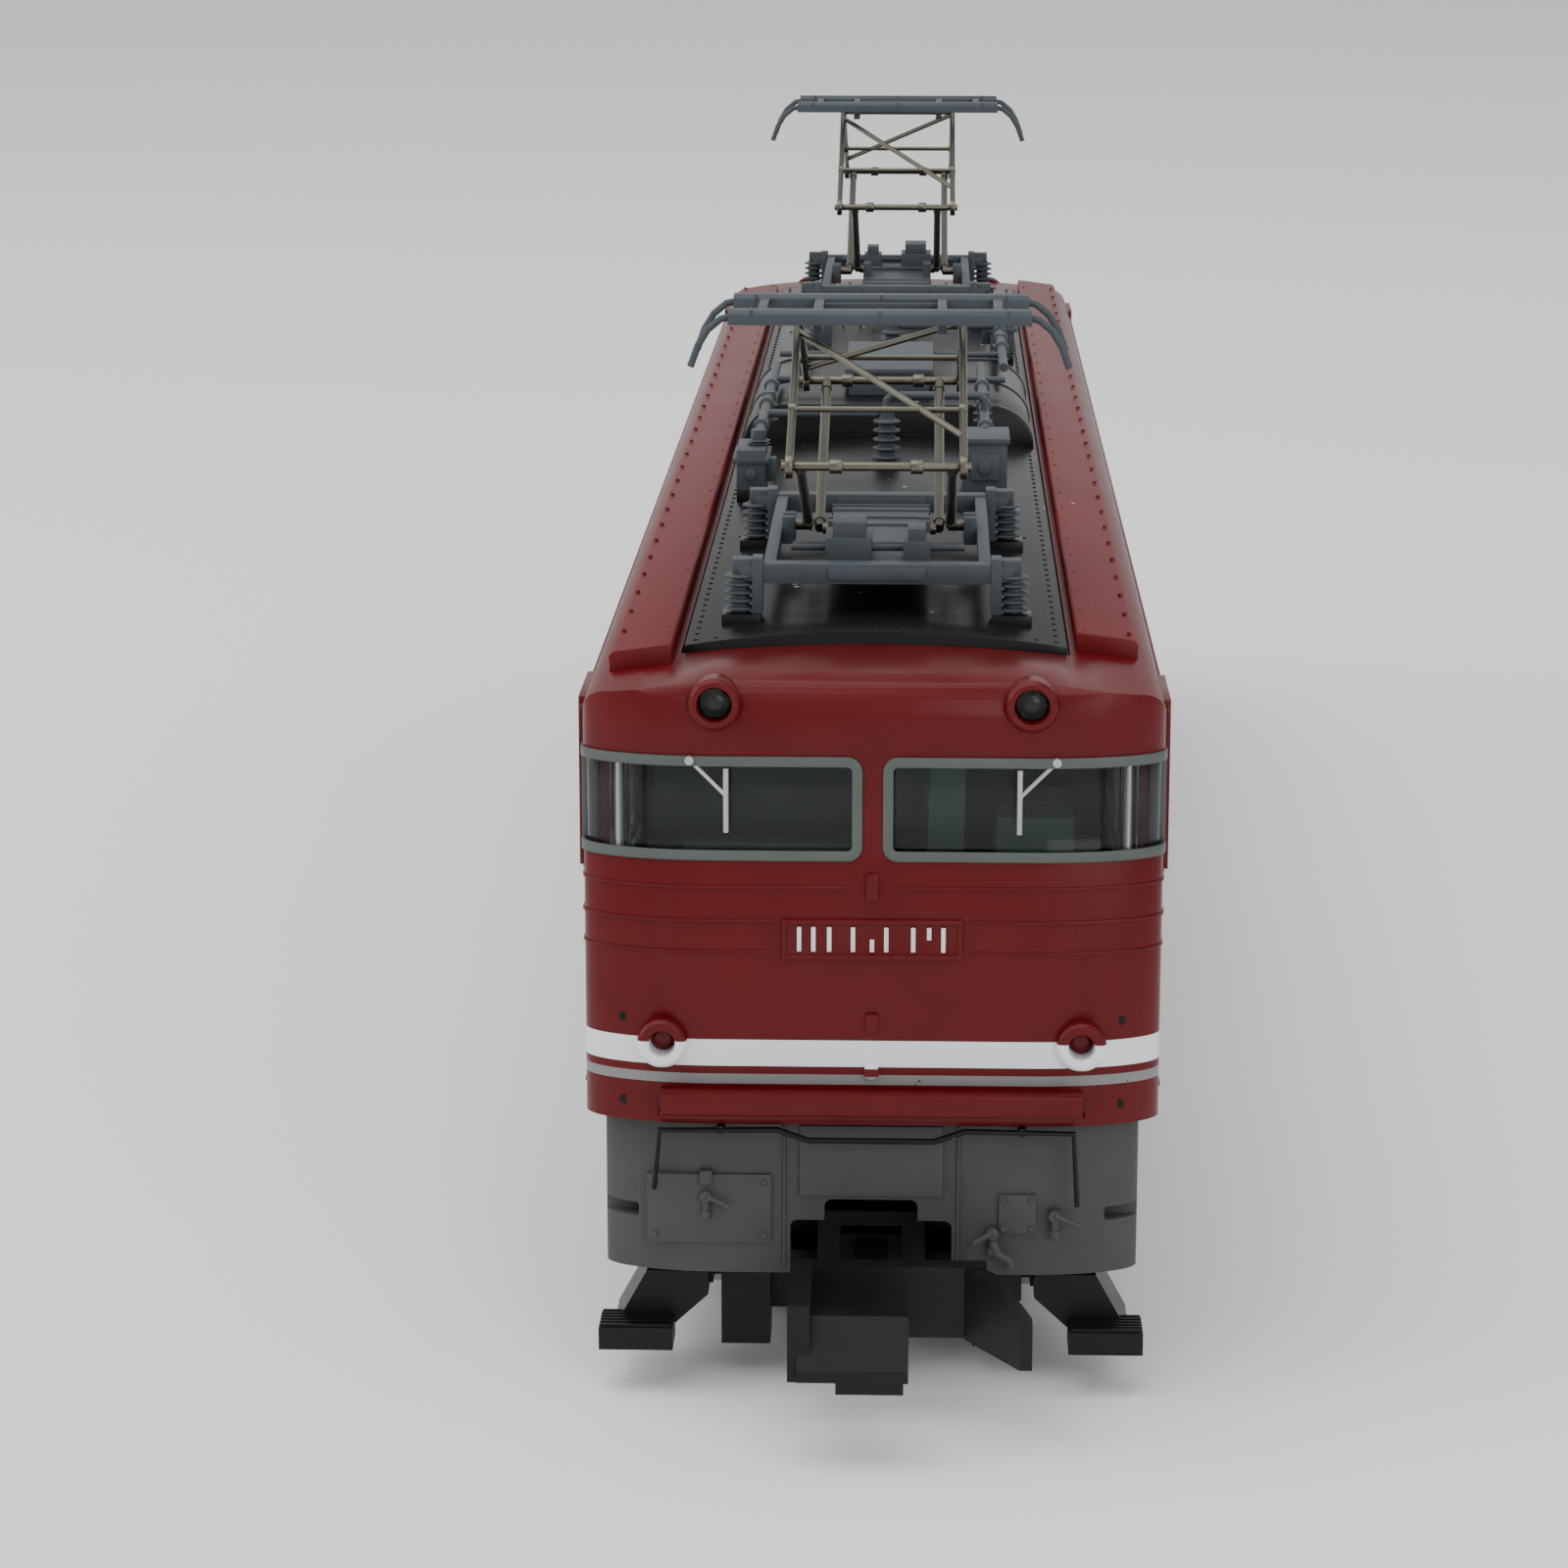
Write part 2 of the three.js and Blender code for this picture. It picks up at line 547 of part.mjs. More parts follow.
// A worm whose crest climbs by one tooth pitch in each turn about +Y, bored for the shaft.
function worm() {
  const [around, perPitch] = [12, 6];
  const rows = Math.round((wormLength / toothPitch) * perPitch);
  const places = [];
  const faces = [];
  for (let row = 0; row <= rows; row++) {
    const y = (row / rows - 0.5) * wormLength;
    for (let i = 0; i < around; i++) {
      const turn = i / around;
      const phase = y / toothPitch - turn;
      const fromCrest = Math.abs(phase - Math.round(phase)) * toothPitch;
      const rise = (0.2 - fromCrest) / 0.42;
      const radius = wormRadius + Math.max(-1.1 * gearModule, Math.min(0.8 * gearModule, rise));
      places.push(radius * Math.sin(turn * 2 * Math.PI), y, radius * Math.cos(turn * 2 * Math.PI));
    }
  }
  const at = (row, i) => row * around + (i % around);
  for (let row = 0; row < rows; row++) {
    for (let i = 0; i < around; i++) {
      faces.push(at(row, i), at(row, i + 1), at(row + 1, i));
      faces.push(at(row, i + 1), at(row + 1, i + 1), at(row + 1, i));
    }
  }
  [0, rows].forEach((row) => {
    const middle = places.length / 3;
    places.push(0, (row / rows - 0.5) * wormLength, 0);
    for (let i = 0; i < around; i++) {
      if (row === 0) faces.push(middle, at(row, i + 1), at(row, i));
      else faces.push(middle, at(row, i), at(row, i + 1));
    }
  });
  const geometry = new THREE.BufferGeometry();
  geometry.setAttribute("position", new THREE.BufferAttribute(new Float32Array(places), 3));
  geometry.setIndex(faces);
  const bore = rod("y", shaftRadius + runningClearance, [-wormLength, wormLength], [0, 0]);
  return cut(solidOf(geometry), bore);
}

function circuitBoard() {
  const z = chassisZ[1] + 0.1;
  const reach = halfLength - cabDepth - 0.3;
  const board = box([-6.2, 6.2], [-reach, reach], [z, z + 0.5]);
  const lamps = [-1, 1].map((end) => box([-1.2, 1.2], [end * reach, end * (reach - 2)], [z, z + 1.6]));
  const parts = [[-3, -24], [2.6, -22], [-2.6, 23], [3, 25]].map(([x, y]) =>
    box([x - 1.2, x + 1.2], [y - 1.6, y + 1.6], [z, z + 1.3]));
  return join(board, lamps, parts);
}

// ---------------------------------------------------------------- drive bogie, about its pivot

const axleY = driveWheelbase / 2;
const idlerZ = 8.62;
const idlerY = Math.sqrt(
  (gearRadius(wormWheelTeeth) + gearRadius(idlerTeeth)) ** 2 - (wormWheelZ - idlerZ) ** 2,
);
const towerHalfWidth = 2.2;
const towerHalfLength = 12;

function gearOutline(teeth, phase, [cy, cz]) {
  const radius = gearRadius(teeth);
  const [tip, root] = [radius + 0.8 * gearModule, radius - 1.1 * gearModule];
  const [tipHalf, rootHalf] = [0.1 / tip, 0.4 / root];
  const points = [];
  for (let i = 0; i < teeth; i++) {
    const middle = phase + (i * 2 * Math.PI) / teeth;
    const corners = [[root, -rootHalf], [tip, -tipHalf], [tip, tipHalf], [root, rootHalf]];
    corners.forEach(([r, turn]) => {
      points.push([cy + r * Math.cos(middle + turn), cz + r * Math.sin(middle + turn)]);
    });
  }
  return points;
}

// The tooth phase that puts a gear in mesh with another one whose phase is known.
function meshedPhase(from, to) {
  const way = Math.atan2(to.z - from.z, to.y - from.y);
  const share = ((way - from.phase) * from.teeth) / (2 * Math.PI);
  return way + Math.PI - ((0.5 - share) * 2 * Math.PI) / to.teeth;
}

const wormWheelGear = { y: 0, z: wormWheelZ, teeth: wormWheelTeeth, phase: Math.PI / 2 };
function gearTrain(end) {
  const idler = { y: end * idlerY, z: idlerZ, teeth: idlerTeeth };
  idler.phase = meshedPhase(wormWheelGear, idler);
  const axle = { y: end * axleY, z: driveWheel.flange, teeth: axleGearTeeth };
  axle.phase = meshedPhase(idler, axle);
  return { idler, axle };
}

function gearOnPin({ y, z, teeth, phase }) {
  const disc = prism("x", gearOutline(teeth, phase, [y, z]), [-gearFace / 2, gearFace / 2]);
  return join(disc, rod("x", gearPinRadius, [-towerHalfWidth, towerHalfWidth], [y, z], 10));
}

function axleGear({ y, z, teeth, phase }) {
  const disc = prism("x", gearOutline(teeth, phase, [y, z]), [-gearFace / 2, gearFace / 2]);
  return cut(disc, rod("x", axleRadius + runningClearance, [-2, 2], [y, z], 16));
}

// One axle with both wheels. The wheels have flats just outside the true circle, one of them down.
function wheelset(y, { tread, flange }) {
  const out = 1 / Math.cos(Math.PI / wheelSides);
  const back = wheelBackToBack / 2;
  const face = back + wheelWidth;
  const rim = tread - 0.5;
  const wheels = bothSides((side) => {
    const profile = [
      [0, back],
      [flange * out, back],
      [flange * out, back + flangeWidth],
      [tread * out, back + flangeWidth + 0.15],
      [tread * out, face],
      [rim, face],
      [rim, face - 0.4],
      [0, face - 0.4],
    ].map(([r, x]) => new THREE.Vector2(r, x));
    const wheel = new THREE.LatheGeometry(profile, wheelSides).rotateY(Math.PI / wheelSides);
    return solidOf(wheel.rotateZ((-side * Math.PI) / 2).translate(0, y, flange));
  });
  return join(wheels, rod("x", axleRadius, [-back - 0.5, back + 0.5], [y, flange], 16));
}

function gearbox() {
  const [low, shoulder, top] = [1.3, 11.8, 12.6];
  const block = join(
    box([-towerHalfWidth, towerHalfWidth], [-towerHalfLength, towerHalfLength], [low, 7.6]),
    box([-towerHalfWidth, towerHalfWidth], [-9.3, 9.3], [7.5, shoulder]),
    box([-towerHalfWidth, towerHalfWidth], [-4.9, 4.9], [shoulder - 0.1, top]),
  );
  const room = gearFace / 2 + 0.35;
  const hollow = join(
    box([-room, room], [-towerHalfLength + 0.5, towerHalfLength - 0.5], [low - 1, 7.35]),
    box([-room, room], [-8.9, 8.9], [7, shoulder - 0.5]),
    box([-room, room], [-4.5, 4.5], [shoulder - 0.6, top + 1]),
  );
  const trains = [gearTrain(-1), gearTrain(1)];
  const pinBores = [wormWheelGear, ...trains.map((train) => train.idler)].map(({ y, z }) =>
    rod("x", gearPinRadius + runningClearance, [-3, 3], [y, z], 10));
  const axleBores = trains.map(({ axle }) =>
    rod("x", axleRadius + runningClearance, [-3, 3], [axle.y, axle.z], 16));
  return cut(block, hollow, pinBores, axleBores);
}

// Side frames, beams, coupler pocket, rail guards and steps of a drive bogie, with its front at -Y.
function bogieFrame() {
  const [inner, outer] = sideFrameX;
  const frontBeam = [-14.2, -13];
  const sides = bothSides((side) => {
    const plate = [inner * side, outer * side];
    const boss = [outer * side, (outer + 0.9) * side];
    return [
      box(plate, [-11.6, 11.6], [5.2, 7.8]),
      box(plate, [frontBeam[0], -11.5], [2.7, 6.4]),
      box(plate, [11.5, 14.2], [4.8, 6.4]),
      [-axleY, axleY].map((y) => [
        box(plate, [y - 1.7, y + 1.7], [2.7, 8.6]),
        box(boss, [y - 1.1, y + 1.1], [3.1, 6.6]),
        [-2.5, 2.5].map((dy) => rod("z", 0.6, [3.4, 7], [(outer + 0.45) * side, y + dy], 8)),
      ]),
      box([2.25 * side, outer * side], [-3.3, 3.3], [5.2, 7.2]),
      box(boss, [-2.6, 2.6], [3.6, 5.6]),
      box(plate, [-2.6, 2.6], [3.6, 5.6]),
    ];
  });
  const frontCross = box([-outer, outer], frontBeam, [2.7, 3.6]);
  const rearCross = box([-outer, outer], [13, 14.2], [4.8, 6]);
  const steps = bothSides((side) => [
    box([5.2 * side, 7.3 * side], [-15.6, frontBeam[1]], [2.9, 3.8]),
    prism("y", slopedArm(side), [-17, -14.2]),
    box([6.4 * side, 8.8 * side], [-18.2, -16.6], [1.5, 2.25]),
  ]);
  const guards = bothSides((side) => [
    box([2.7 * side, 4.1 * side], [-15.2, frontBeam[1]], [2, 3.8]),
    box([3.3 * side, 4.9 * side], [-16.4, -14.9], [1.1, 3.6]),
  ]);
  const { wall, halfWidth: pocketX, y: pocketY, z: pocketZ, mouth } = couplerPocket;
  const pocket = cut(
    box([-pocketX - wall, pocketX + wall], [pocketY[0], pocketY[1] + wall],
      [pocketZ[0] - wall, pocketZ[1] + wall]),
    box([-pocketX, pocketX], [pocketY[0] + wall, pocketY[1]], pocketZ),
    box([-mouth, mouth], [pocketY[0] - 1, pocketY[0] + wall + 0.1], pocketZ),
  );
  return join(sides.flat(3), frontCross, rearCross, steps, guards, pocket);
}

// Section of a step's arm, sloping down and outwards to the foot plate.
function slopedArm(side) {
  const outline = [[5.3, 3], [6.6, 1.8], [8.4, 1.8], [7.3, 3.8], [5.3, 3.8]];
  return side > 0 ? outline : outline.map(([x, z]) => [-x, z]).reverse();
}

// ---------------------------------------------------------------- coupler, about the bogie pivot

const couplerPocket = { halfWidth: 1.25, wall: 0.5, y: [-16.7, -13.4], z: [3.2, 5.3], mouth: 1 };
const couplerPivot = { y: -15.2, z: 4.2 };
const couplerReach = -24.6; // foremost point of the coupler

function coupler() {
  const shank = box([-0.55, 0.55], [-19.9, couplerPivot.y - 0.4], [3.8, 4.6]);
  const stop = box([-1.1, 1.1], [couplerPivot.y - 0.7, couplerPivot.y + 0.1], [3.65, 4.75]);
  const backPlate = box([-2.5, 3.7], [-20.5, -19.8], [2.9, 5.25]);
  const sidePlate = box([-2.5, -1.8], [couplerReach + 0.3, -20], [2.8, 5.3]);
  const face = prism("x", [
    [couplerReach, 3.3],
    [couplerReach, 2.9],
    [couplerReach + 1.7, 2.9],
    [couplerReach + 1.7, 4.7],
    [couplerReach + 1.1, 4.7],
  ], [-2.2, 1.25]);
  const tab = box([-1, 1.1], [couplerReach + 0.2, couplerReach + 1.4], [2.45, 3.1]);
  const wing = prism("z", [[3, -20.5], [3.7, -20.5], [5.1, -22.6], [5.1, -23.2], [4.7, -23.2]],
    [2.85, 5.2]);
  const wingSlope = prism("y", [[3.9, 5.4], [5.4, 4.1], [5.4, 5.4]], [-24, -20]);
  return cut(join(shank, stop, backPlate, sidePlate, face, tab, wing), wingSlope);
}

const couplerSpring = () => rod("y", 0.5, [couplerPivot.y + 0.2, couplerPocket.y[1] - 0.1],
  [0, couplerPivot.z], 10);

// ---------------------------------------------------------------- centre bogie

const slideHeights = [7.9, 8.85];
const slider = { halfWidth: 3.2, halfLength: 2.7, hole: 1.08, rail: 4.7 };

function centreBogieFrame() {
  const [inner, outer] = sideFrameX;
  const axle = trailWheelbase / 2;
  const z = trailWheel.flange;
  const sides = bothSides((side) => [
    box([inner * side, outer * side], [-8.4, 8.4], [4.2, 6.2]),
    [-axle, axle].map((y) => box([inner * side, (outer + 0.8) * side], [y - 1.4, y + 1.4], [2.3, 6.2])),
    box([2.2 * side, 3.1 * side], [-axle - 1.2, axle + 1.2], [2.4, 6.2]),
  ]);
  const transom = box([-outer, outer], [-2.1, 2.1], [4.2, 6.2]);
  const post = rod("z", slider.hole - runningClearance, [6.1, slideHeights[1] - 0.1], [0, 0], 16);
  const bores = [-axle, axle].map((y) => rod("x", axleRadius + runningClearance, [-4, 4], [y, z], 16));
  return cut(join(sides.flat(2), transom, post), bores);
}

const centreBogieSlider = () => cut(
  box([-slider.halfWidth, slider.halfWidth], [-slider.halfLength, slider.halfLength], slideHeights),
  rod("z", slider.hole / Math.cos(Math.PI / 16), [7, 10], [0, 0], 16),
);

function underframeCover() {
  const topZ = chassisZ[0];
  const plateZ = slideHeights[1] + 0.05;
  const reach = bogiePivotY - towerHalfLength - 3.7;
  const plate = box([-7.8, 7.8], [-reach, reach], [plateZ, topZ]);
  const rails = bothSides((row) => box([-slider.rail, slider.rail],
    [row * (slider.halfLength + 0.06), row * (slider.halfLength + 0.7)], [7.5, topZ - 0.1]));
  const lips = bothSides((row) => box([-slider.rail, slider.rail],
    [row * (slider.halfLength - 0.4), row * (slider.halfLength + 0.7)], [7.5, 7.85]));
  const boxes = [-1, 1].flatMap((end) => bothSides((side) =>
    box([side * 4.6, side * 8.1], [end * 11.8, end * (reach - 0.3)], [3.4, topZ - 0.1])));
  const tanks = [-1, 1].map((end) => box([-4.7, 4.7], [end * 13, end * 18], [4.6, topZ - 0.1]));
  return join(plate, rails, lips, boxes, tanks);
}

// ---------------------------------------------------------------- pantograph, about its centre

const upperArm =
  pantograph.lowerArm -
  (pantograph.crossing + pantograph.headPivot) /
    Math.cos(THREE.MathUtils.degToRad(pantograph.folded));

// Knee and head pivot of the frame with its knee at -Y when its lower arm is raised to an angle.
function armPoints(degrees) {
  const angle = THREE.MathUtils.degToRad(degrees);
  const reach = pantograph.lowerArm * Math.cos(angle) - pantograph.crossing;
  const knee = [-reach, pantograph.pivotZ + pantograph.lowerArm * Math.sin(angle)];
  const spread = reach - pantograph.headPivot;
  const rise = Math.sqrt(upperArm ** 2 - spread ** 2);
  return { pivot: [pantograph.crossing, pantograph.pivotZ], knee, head: [-pantograph.headPivot, knee[1] + rise] };
}

const mirrorY = ([y, z]) => [-y, z];

// A lower frame: two arms, the knee bar across them and pivot stubs at their feet.
function lowerFrame(points, x, stubX) {
  const { pivot, knee } = points;
  const tube = pantograph.tube;
  const arms = bothSides((side) => strut([side * x, ...pivot], [side * x, ...knee], tube + 0.01));
  const stubs = bothSides((side) => rod("x", 0.2, [side * (x - 0.05), side * stubX], pivot, 8));
  return join(arms, stubs, rod("x", tube - 0.02, [-3.05, 3.05], knee, 8));
}

// An upper frame: two tubes with eyes round the knee bar, a top tube, a cross tube and a brace.
function upperFrame(points, braceSide) {
  const { knee, head } = points;
  const { upperX: x, tube } = pantograph;
  const along = (share) => [0, 1].map((i) => knee[i] + (head[i] - knee[i]) * share);
  const start = along(0.035);
  const eyes = bothSides((side) => rod("x", 0.4, [side * (x - 0.12), side * (x + 0.12)], knee, 10));
  const tubes = bothSides((side) => strut([side * x, ...start], [side * x, ...head], tube - 0.04));
  const cross = strut([-x, ...along(0.38)], [x, ...along(0.38)], tube - 0.05);
  const brace = strut([-x * braceSide, ...along(0.93)], [x * braceSide, ...along(0.2)], tube - 0.06);
  const top = rod("x", tube - 0.02, [-x - 0.1, x + 0.1], head, 8);
  return cut(join(eyes, tubes, cross, brace, top), rod("x", 0.25, [-4, 4], knee, 10));
}

// The collector head: two strips, cross ties, pivot lugs and a curved horn at each end.
function collectorHead({ head }) {
  const { headHalfWidth: half, hornX, hornDrop, headPivot } = pantograph;
  const z = head[1] + 0.35;
  const spread = 2.2;
  const strips = [-spread, spread].map((y) =>
    box([-half, half], [y - 0.4, y + 0.4], [z - 0.25, z + 0.25]));
  const ties = [-4, -2.1, 2.1, 4].map((x) =>
    box([x - 0.18, x + 0.18], [-spread, spread], [z - 0.12, z + 0.15]));
  const lugs = bothSides((side) => cut(
    box([side * 1.95, side * 2.25], [-1.25, 1.25], [head[1] - 0.35, z]),
    [-headPivot, headPivot].map((y) =>
      box([side, side * 3], [y - 0.2, y + 0.2], [head[1] - 1, head[1] + 0.2])),
  ));
  const horns = bothSides((side) => {
    const bend = new THREE.CubicBezierCurve3(
      new THREE.Vector3(side * (half - 0.3), -spread, z),
      new THREE.Vector3(side * (half + 0.5), -spread, z),
      new THREE.Vector3(side * (hornX - 0.3), -spread, z - hornDrop * 0.5),
      new THREE.Vector3(side * hornX, -spread, z - hornDrop),
    );
    const section = new THREE.Shape(arc([0, 0], [0.1, 0.1], 0, 300, 5)
      .map(([u, v]) => new THREE.Vector2(u, v)));
    return solidOf(new THREE.ExtrudeGeometry(section, { steps: 8, extrudePath: bend }));
  });
  return join(strips, ties, lugs, horns);
}

// The fixed base: frame, ribbed insulators, spring boxes and the lugs that hold the lower frames.
function pantographBase() {
  const frameZ = [25.35, 25.95];
  const bars = [-insulatorSpread, insulatorSpread].map((y) =>
    box([-4.6, 4.6], [y - 0.45, y + 0.45], frameZ));
  const rails = bothSides((side) => box([side * 3.3, side * 3.8],
    [-insulatorSpread, insulatorSpread], frameZ));
  const columns = [-insulatorSpread, insulatorSpread].flatMap((y) => bothSides((side) => [
    box([side * 3.95, side * 4.4], [y - 0.5, y + 0.5], [padZ, frameZ[1] + 0.2]),
    rod("z", 0.5, [padZ, frameZ[0] + 0.1], [side * 4.5, y], 8),
  ]));
  const springBoxes = [
    box([-1.75, -0.2], [-5.2, -3], [frameZ[0], 26.95]),
    box([0.85, 1.75], [-5.2, -3.6], [frameZ[0], 26.75]),
  ];
  const { crossing, pivotZ } = pantograph;
  const outerLugs = bothSides((side) => lug([side * 2.9, side * 3.35], crossing, pivotZ));
  const innerLugs = bothSides((side) => lug([side * 1.35, side * 1.75], -crossing, pivotZ));
  const spineZ = [frameZ[0], frameZ[0] + 0.3];
  const innerTie = box([-1.75, 1.75], [-1, 0.2], spineZ);
  const spine = box([-1.7, 1.7], [-insulatorSpread, insulatorSpread], spineZ);
  return join(bars, rails, columns.flat(), springBoxes, outerLugs, innerLugs, innerTie, spine);
}

function lug(x, y, pivotZ) {
  return cut(
    box(x, [y - 0.6, y + 0.6], [pivotZ - 0.6, pivotZ + 0.35]),
    box([x[0] - 1, x[0] + 1], [y - 0.25, y + 0.25], [pivotZ - 0.25, pivotZ + 1]),
  );
}

// ---------------------------------------------------------------- assembly

const locomotive = new THREE.Group();
locomotive.add(
  piece("body_shell", bodyShell(), "red"),
  piece("roof_panel", roofPanel(), "black"),
  piece("roof_equipment", roofEquipment(), "slate"),
  piece("side_glazing_left", sideGlazing(-1), "clear"),
  piece("side_glazing_right", sideGlazing(1), "clear"),
  piece("chassis_frame", chassisFrame(), "zinc"),
  piece("motor_can", motorCan(), "steel"),
  piece("motor_shaft", motorShaft(), "steel"),
  piece("circuit_board", circuitBoard(), "board"),
  piece("underframe_cover", underframeCover(), "black"),
  piece("centre_bogie_slider", centreBogieSlider(), "black"),
  piece("centre_bogie_frame", centreBogieFrame(), "black"),
  piece("trailing_wheelset_1", wheelset(-trailWheelbase / 2, trailWheel), "steel"),
  piece("trailing_wheelset_2", wheelset(trailWheelbase / 2, trailWheel), "steel"),
);

for (const [end, name] of [[-1, "front"], [1, "rear"]]) {
  const turn = end > 0 ? Math.PI : 0;

  const cab = new THREE.Group();
  cab.rotation.z = turn;
  cab.add(
    piece("cab_glazing_" + name, cabGlazing(), "clear"),
    piece("skirt_" + name, skirt(), "grey"),
    piece("cab_interior_" + name, cabInterior(), "green"),
    piece("light_guide_" + name, lightGuide(), "clear"),
  );

  const drive = new THREE.Group();
  const wormMesh = piece("worm_" + name, worm(), "brass");
  wormMesh.position.set(0, end * bogiePivotY, driveZ);
  wormMesh.rotation.z = turn;
  drive.add(wormMesh, piece("flywheel_" + name, flywheel(end), "brass"));

  const bogie = new THREE.Group();
  bogie.position.y = end * bogiePivotY;
  bogie.rotation.z = turn;
  bogie.add(
    piece("bogie_frame_" + name, bogieFrame(), "black"),
    piece("gearbox_" + name, gearbox(), "black"),
    piece("worm_wheel_" + name, gearOnPin(wormWheelGear), "nylon"),
    piece("coupler_spring_" + name, couplerSpring(), "steel"),
    piece("coupler_" + name, coupler(), "black"),
  );
  for (const [row, number] of [[-1, "1"], [1, "2"]]) {
    const train = gearTrain(row);
    bogie.add(
      piece(`idler_gear_${name}_${number}`, gearOnPin(train.idler), "nylon"),
      piece(`axle_gear_${name}_${number}`, axleGear(train.axle), "nylon"),
      piece(`wheelset_${name}_${number}`, wheelset(row * axleY, driveWheel), "steel"),
    );
  }

  const collector = new THREE.Group();
  collector.position.y = end * pantographY;
  collector.rotation.z = turn;
  const points = armPoints(raisedAngle[name]);
  const mirrored = Object.fromEntries(Object.entries(points).map(([key, at]) => [key, mirrorY(at)]));
  collector.add(
    piece("pantograph_base_" + name, pantographBase(), "slate"),
    piece("lower_frame_a_" + name, lowerFrame(points, pantograph.armX[0], 3.2), "bronze"),
    piece("lower_frame_b_" + name, lowerFrame(mirrored, pantograph.armX[1], 1.45), "bronze"),
    piece("upper_frame_a_" + name, upperFrame(points, 1), "bronze"),
    piece("upper_frame_b_" + name, upperFrame(mirrored, -1), "bronze"),
    piece("pantograph_head_" + name, collectorHead(points), "slate"),
  );
  locomotive.add(cab, drive, bogie, collector);
}

export default locomotive;
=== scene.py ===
# %% [markdown]
# # A model electric locomotive
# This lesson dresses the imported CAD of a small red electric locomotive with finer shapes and
# procedural materials. Lengths below are in millimetres and become metres when a piece is finished.

import json
import math

import bmesh
import bpy
from mathutils import Matrix, Vector


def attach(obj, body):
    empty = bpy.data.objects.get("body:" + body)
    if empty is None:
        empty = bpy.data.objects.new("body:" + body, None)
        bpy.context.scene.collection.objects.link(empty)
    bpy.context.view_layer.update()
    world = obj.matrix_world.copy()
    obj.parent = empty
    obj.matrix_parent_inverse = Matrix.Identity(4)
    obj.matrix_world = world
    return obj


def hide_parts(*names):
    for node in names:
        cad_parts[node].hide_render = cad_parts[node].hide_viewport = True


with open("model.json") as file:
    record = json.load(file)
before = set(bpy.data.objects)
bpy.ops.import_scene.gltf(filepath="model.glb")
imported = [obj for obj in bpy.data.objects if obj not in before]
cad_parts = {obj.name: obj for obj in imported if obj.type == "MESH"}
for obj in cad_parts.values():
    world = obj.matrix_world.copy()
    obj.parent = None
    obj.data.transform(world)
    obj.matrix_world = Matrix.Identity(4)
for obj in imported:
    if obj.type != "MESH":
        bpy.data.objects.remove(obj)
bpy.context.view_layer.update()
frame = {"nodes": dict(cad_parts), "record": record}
MM = 0.001
print("CAD nodes:", len(frame["nodes"]))

# %% [markdown]
# ## Building blocks for shaders
# A thin wrapper lets shader maths read like ordinary maths, and one method adds any other node.


# %% Shader helpers
class Socket:
    """One output socket of a shader tree, with operators that add math nodes."""

    def __init__(self, tree, socket):
        self.tree = tree
        self.socket = socket

    def math(self, operation, *others):
        node = self.tree.nodes.new("ShaderNodeMath")
        node.operation = operation
        for slot, value in zip(node.inputs, (self, *others)):
            plug(self.tree, slot, value)
        return Socket(self.tree, node.outputs[0])

    def flipped(self, operation, other):
        node = self.tree.nodes.new("ShaderNodeMath")
        node.operation = operation
        plug(self.tree, node.inputs[0], other)
        plug(self.tree, node.inputs[1], self)
        return Socket(self.tree, node.outputs[0])

    def __add__(self, other):
        return self.math("ADD", other)

    def __sub__(self, other):
        return self.math("SUBTRACT", other)

    def __mul__(self, other):
        return self.math("MULTIPLY", other)

    def __truediv__(self, other):
        return self.math("DIVIDE", other)

    def __rsub__(self, other):
        return self.flipped("SUBTRACT", other)

    def __rtruediv__(self, other):
        return self.flipped("DIVIDE", other)

    __radd__ = __add__
    __rmul__ = __mul__

    def over(self, limit):
        return self.math("GREATER_THAN", limit)

    def under(self, limit):
        return self.math("LESS_THAN", limit)

    def between(self, low, high):
        return self.over(low) * self.under(high)

    def size(self):
        return self.math("ABSOLUTE")


def plug(tree, slot, value):
    """Links a Socket to an input, or sets the input to a constant."""
    if isinstance(value, Socket):
        tree.links.new(value.socket, slot)
    elif hasattr(slot.default_value, "__len__") and len(slot.default_value) == 4:
        slot.default_value = (*value, 1)[:4]
    else:
        slot.default_value = value


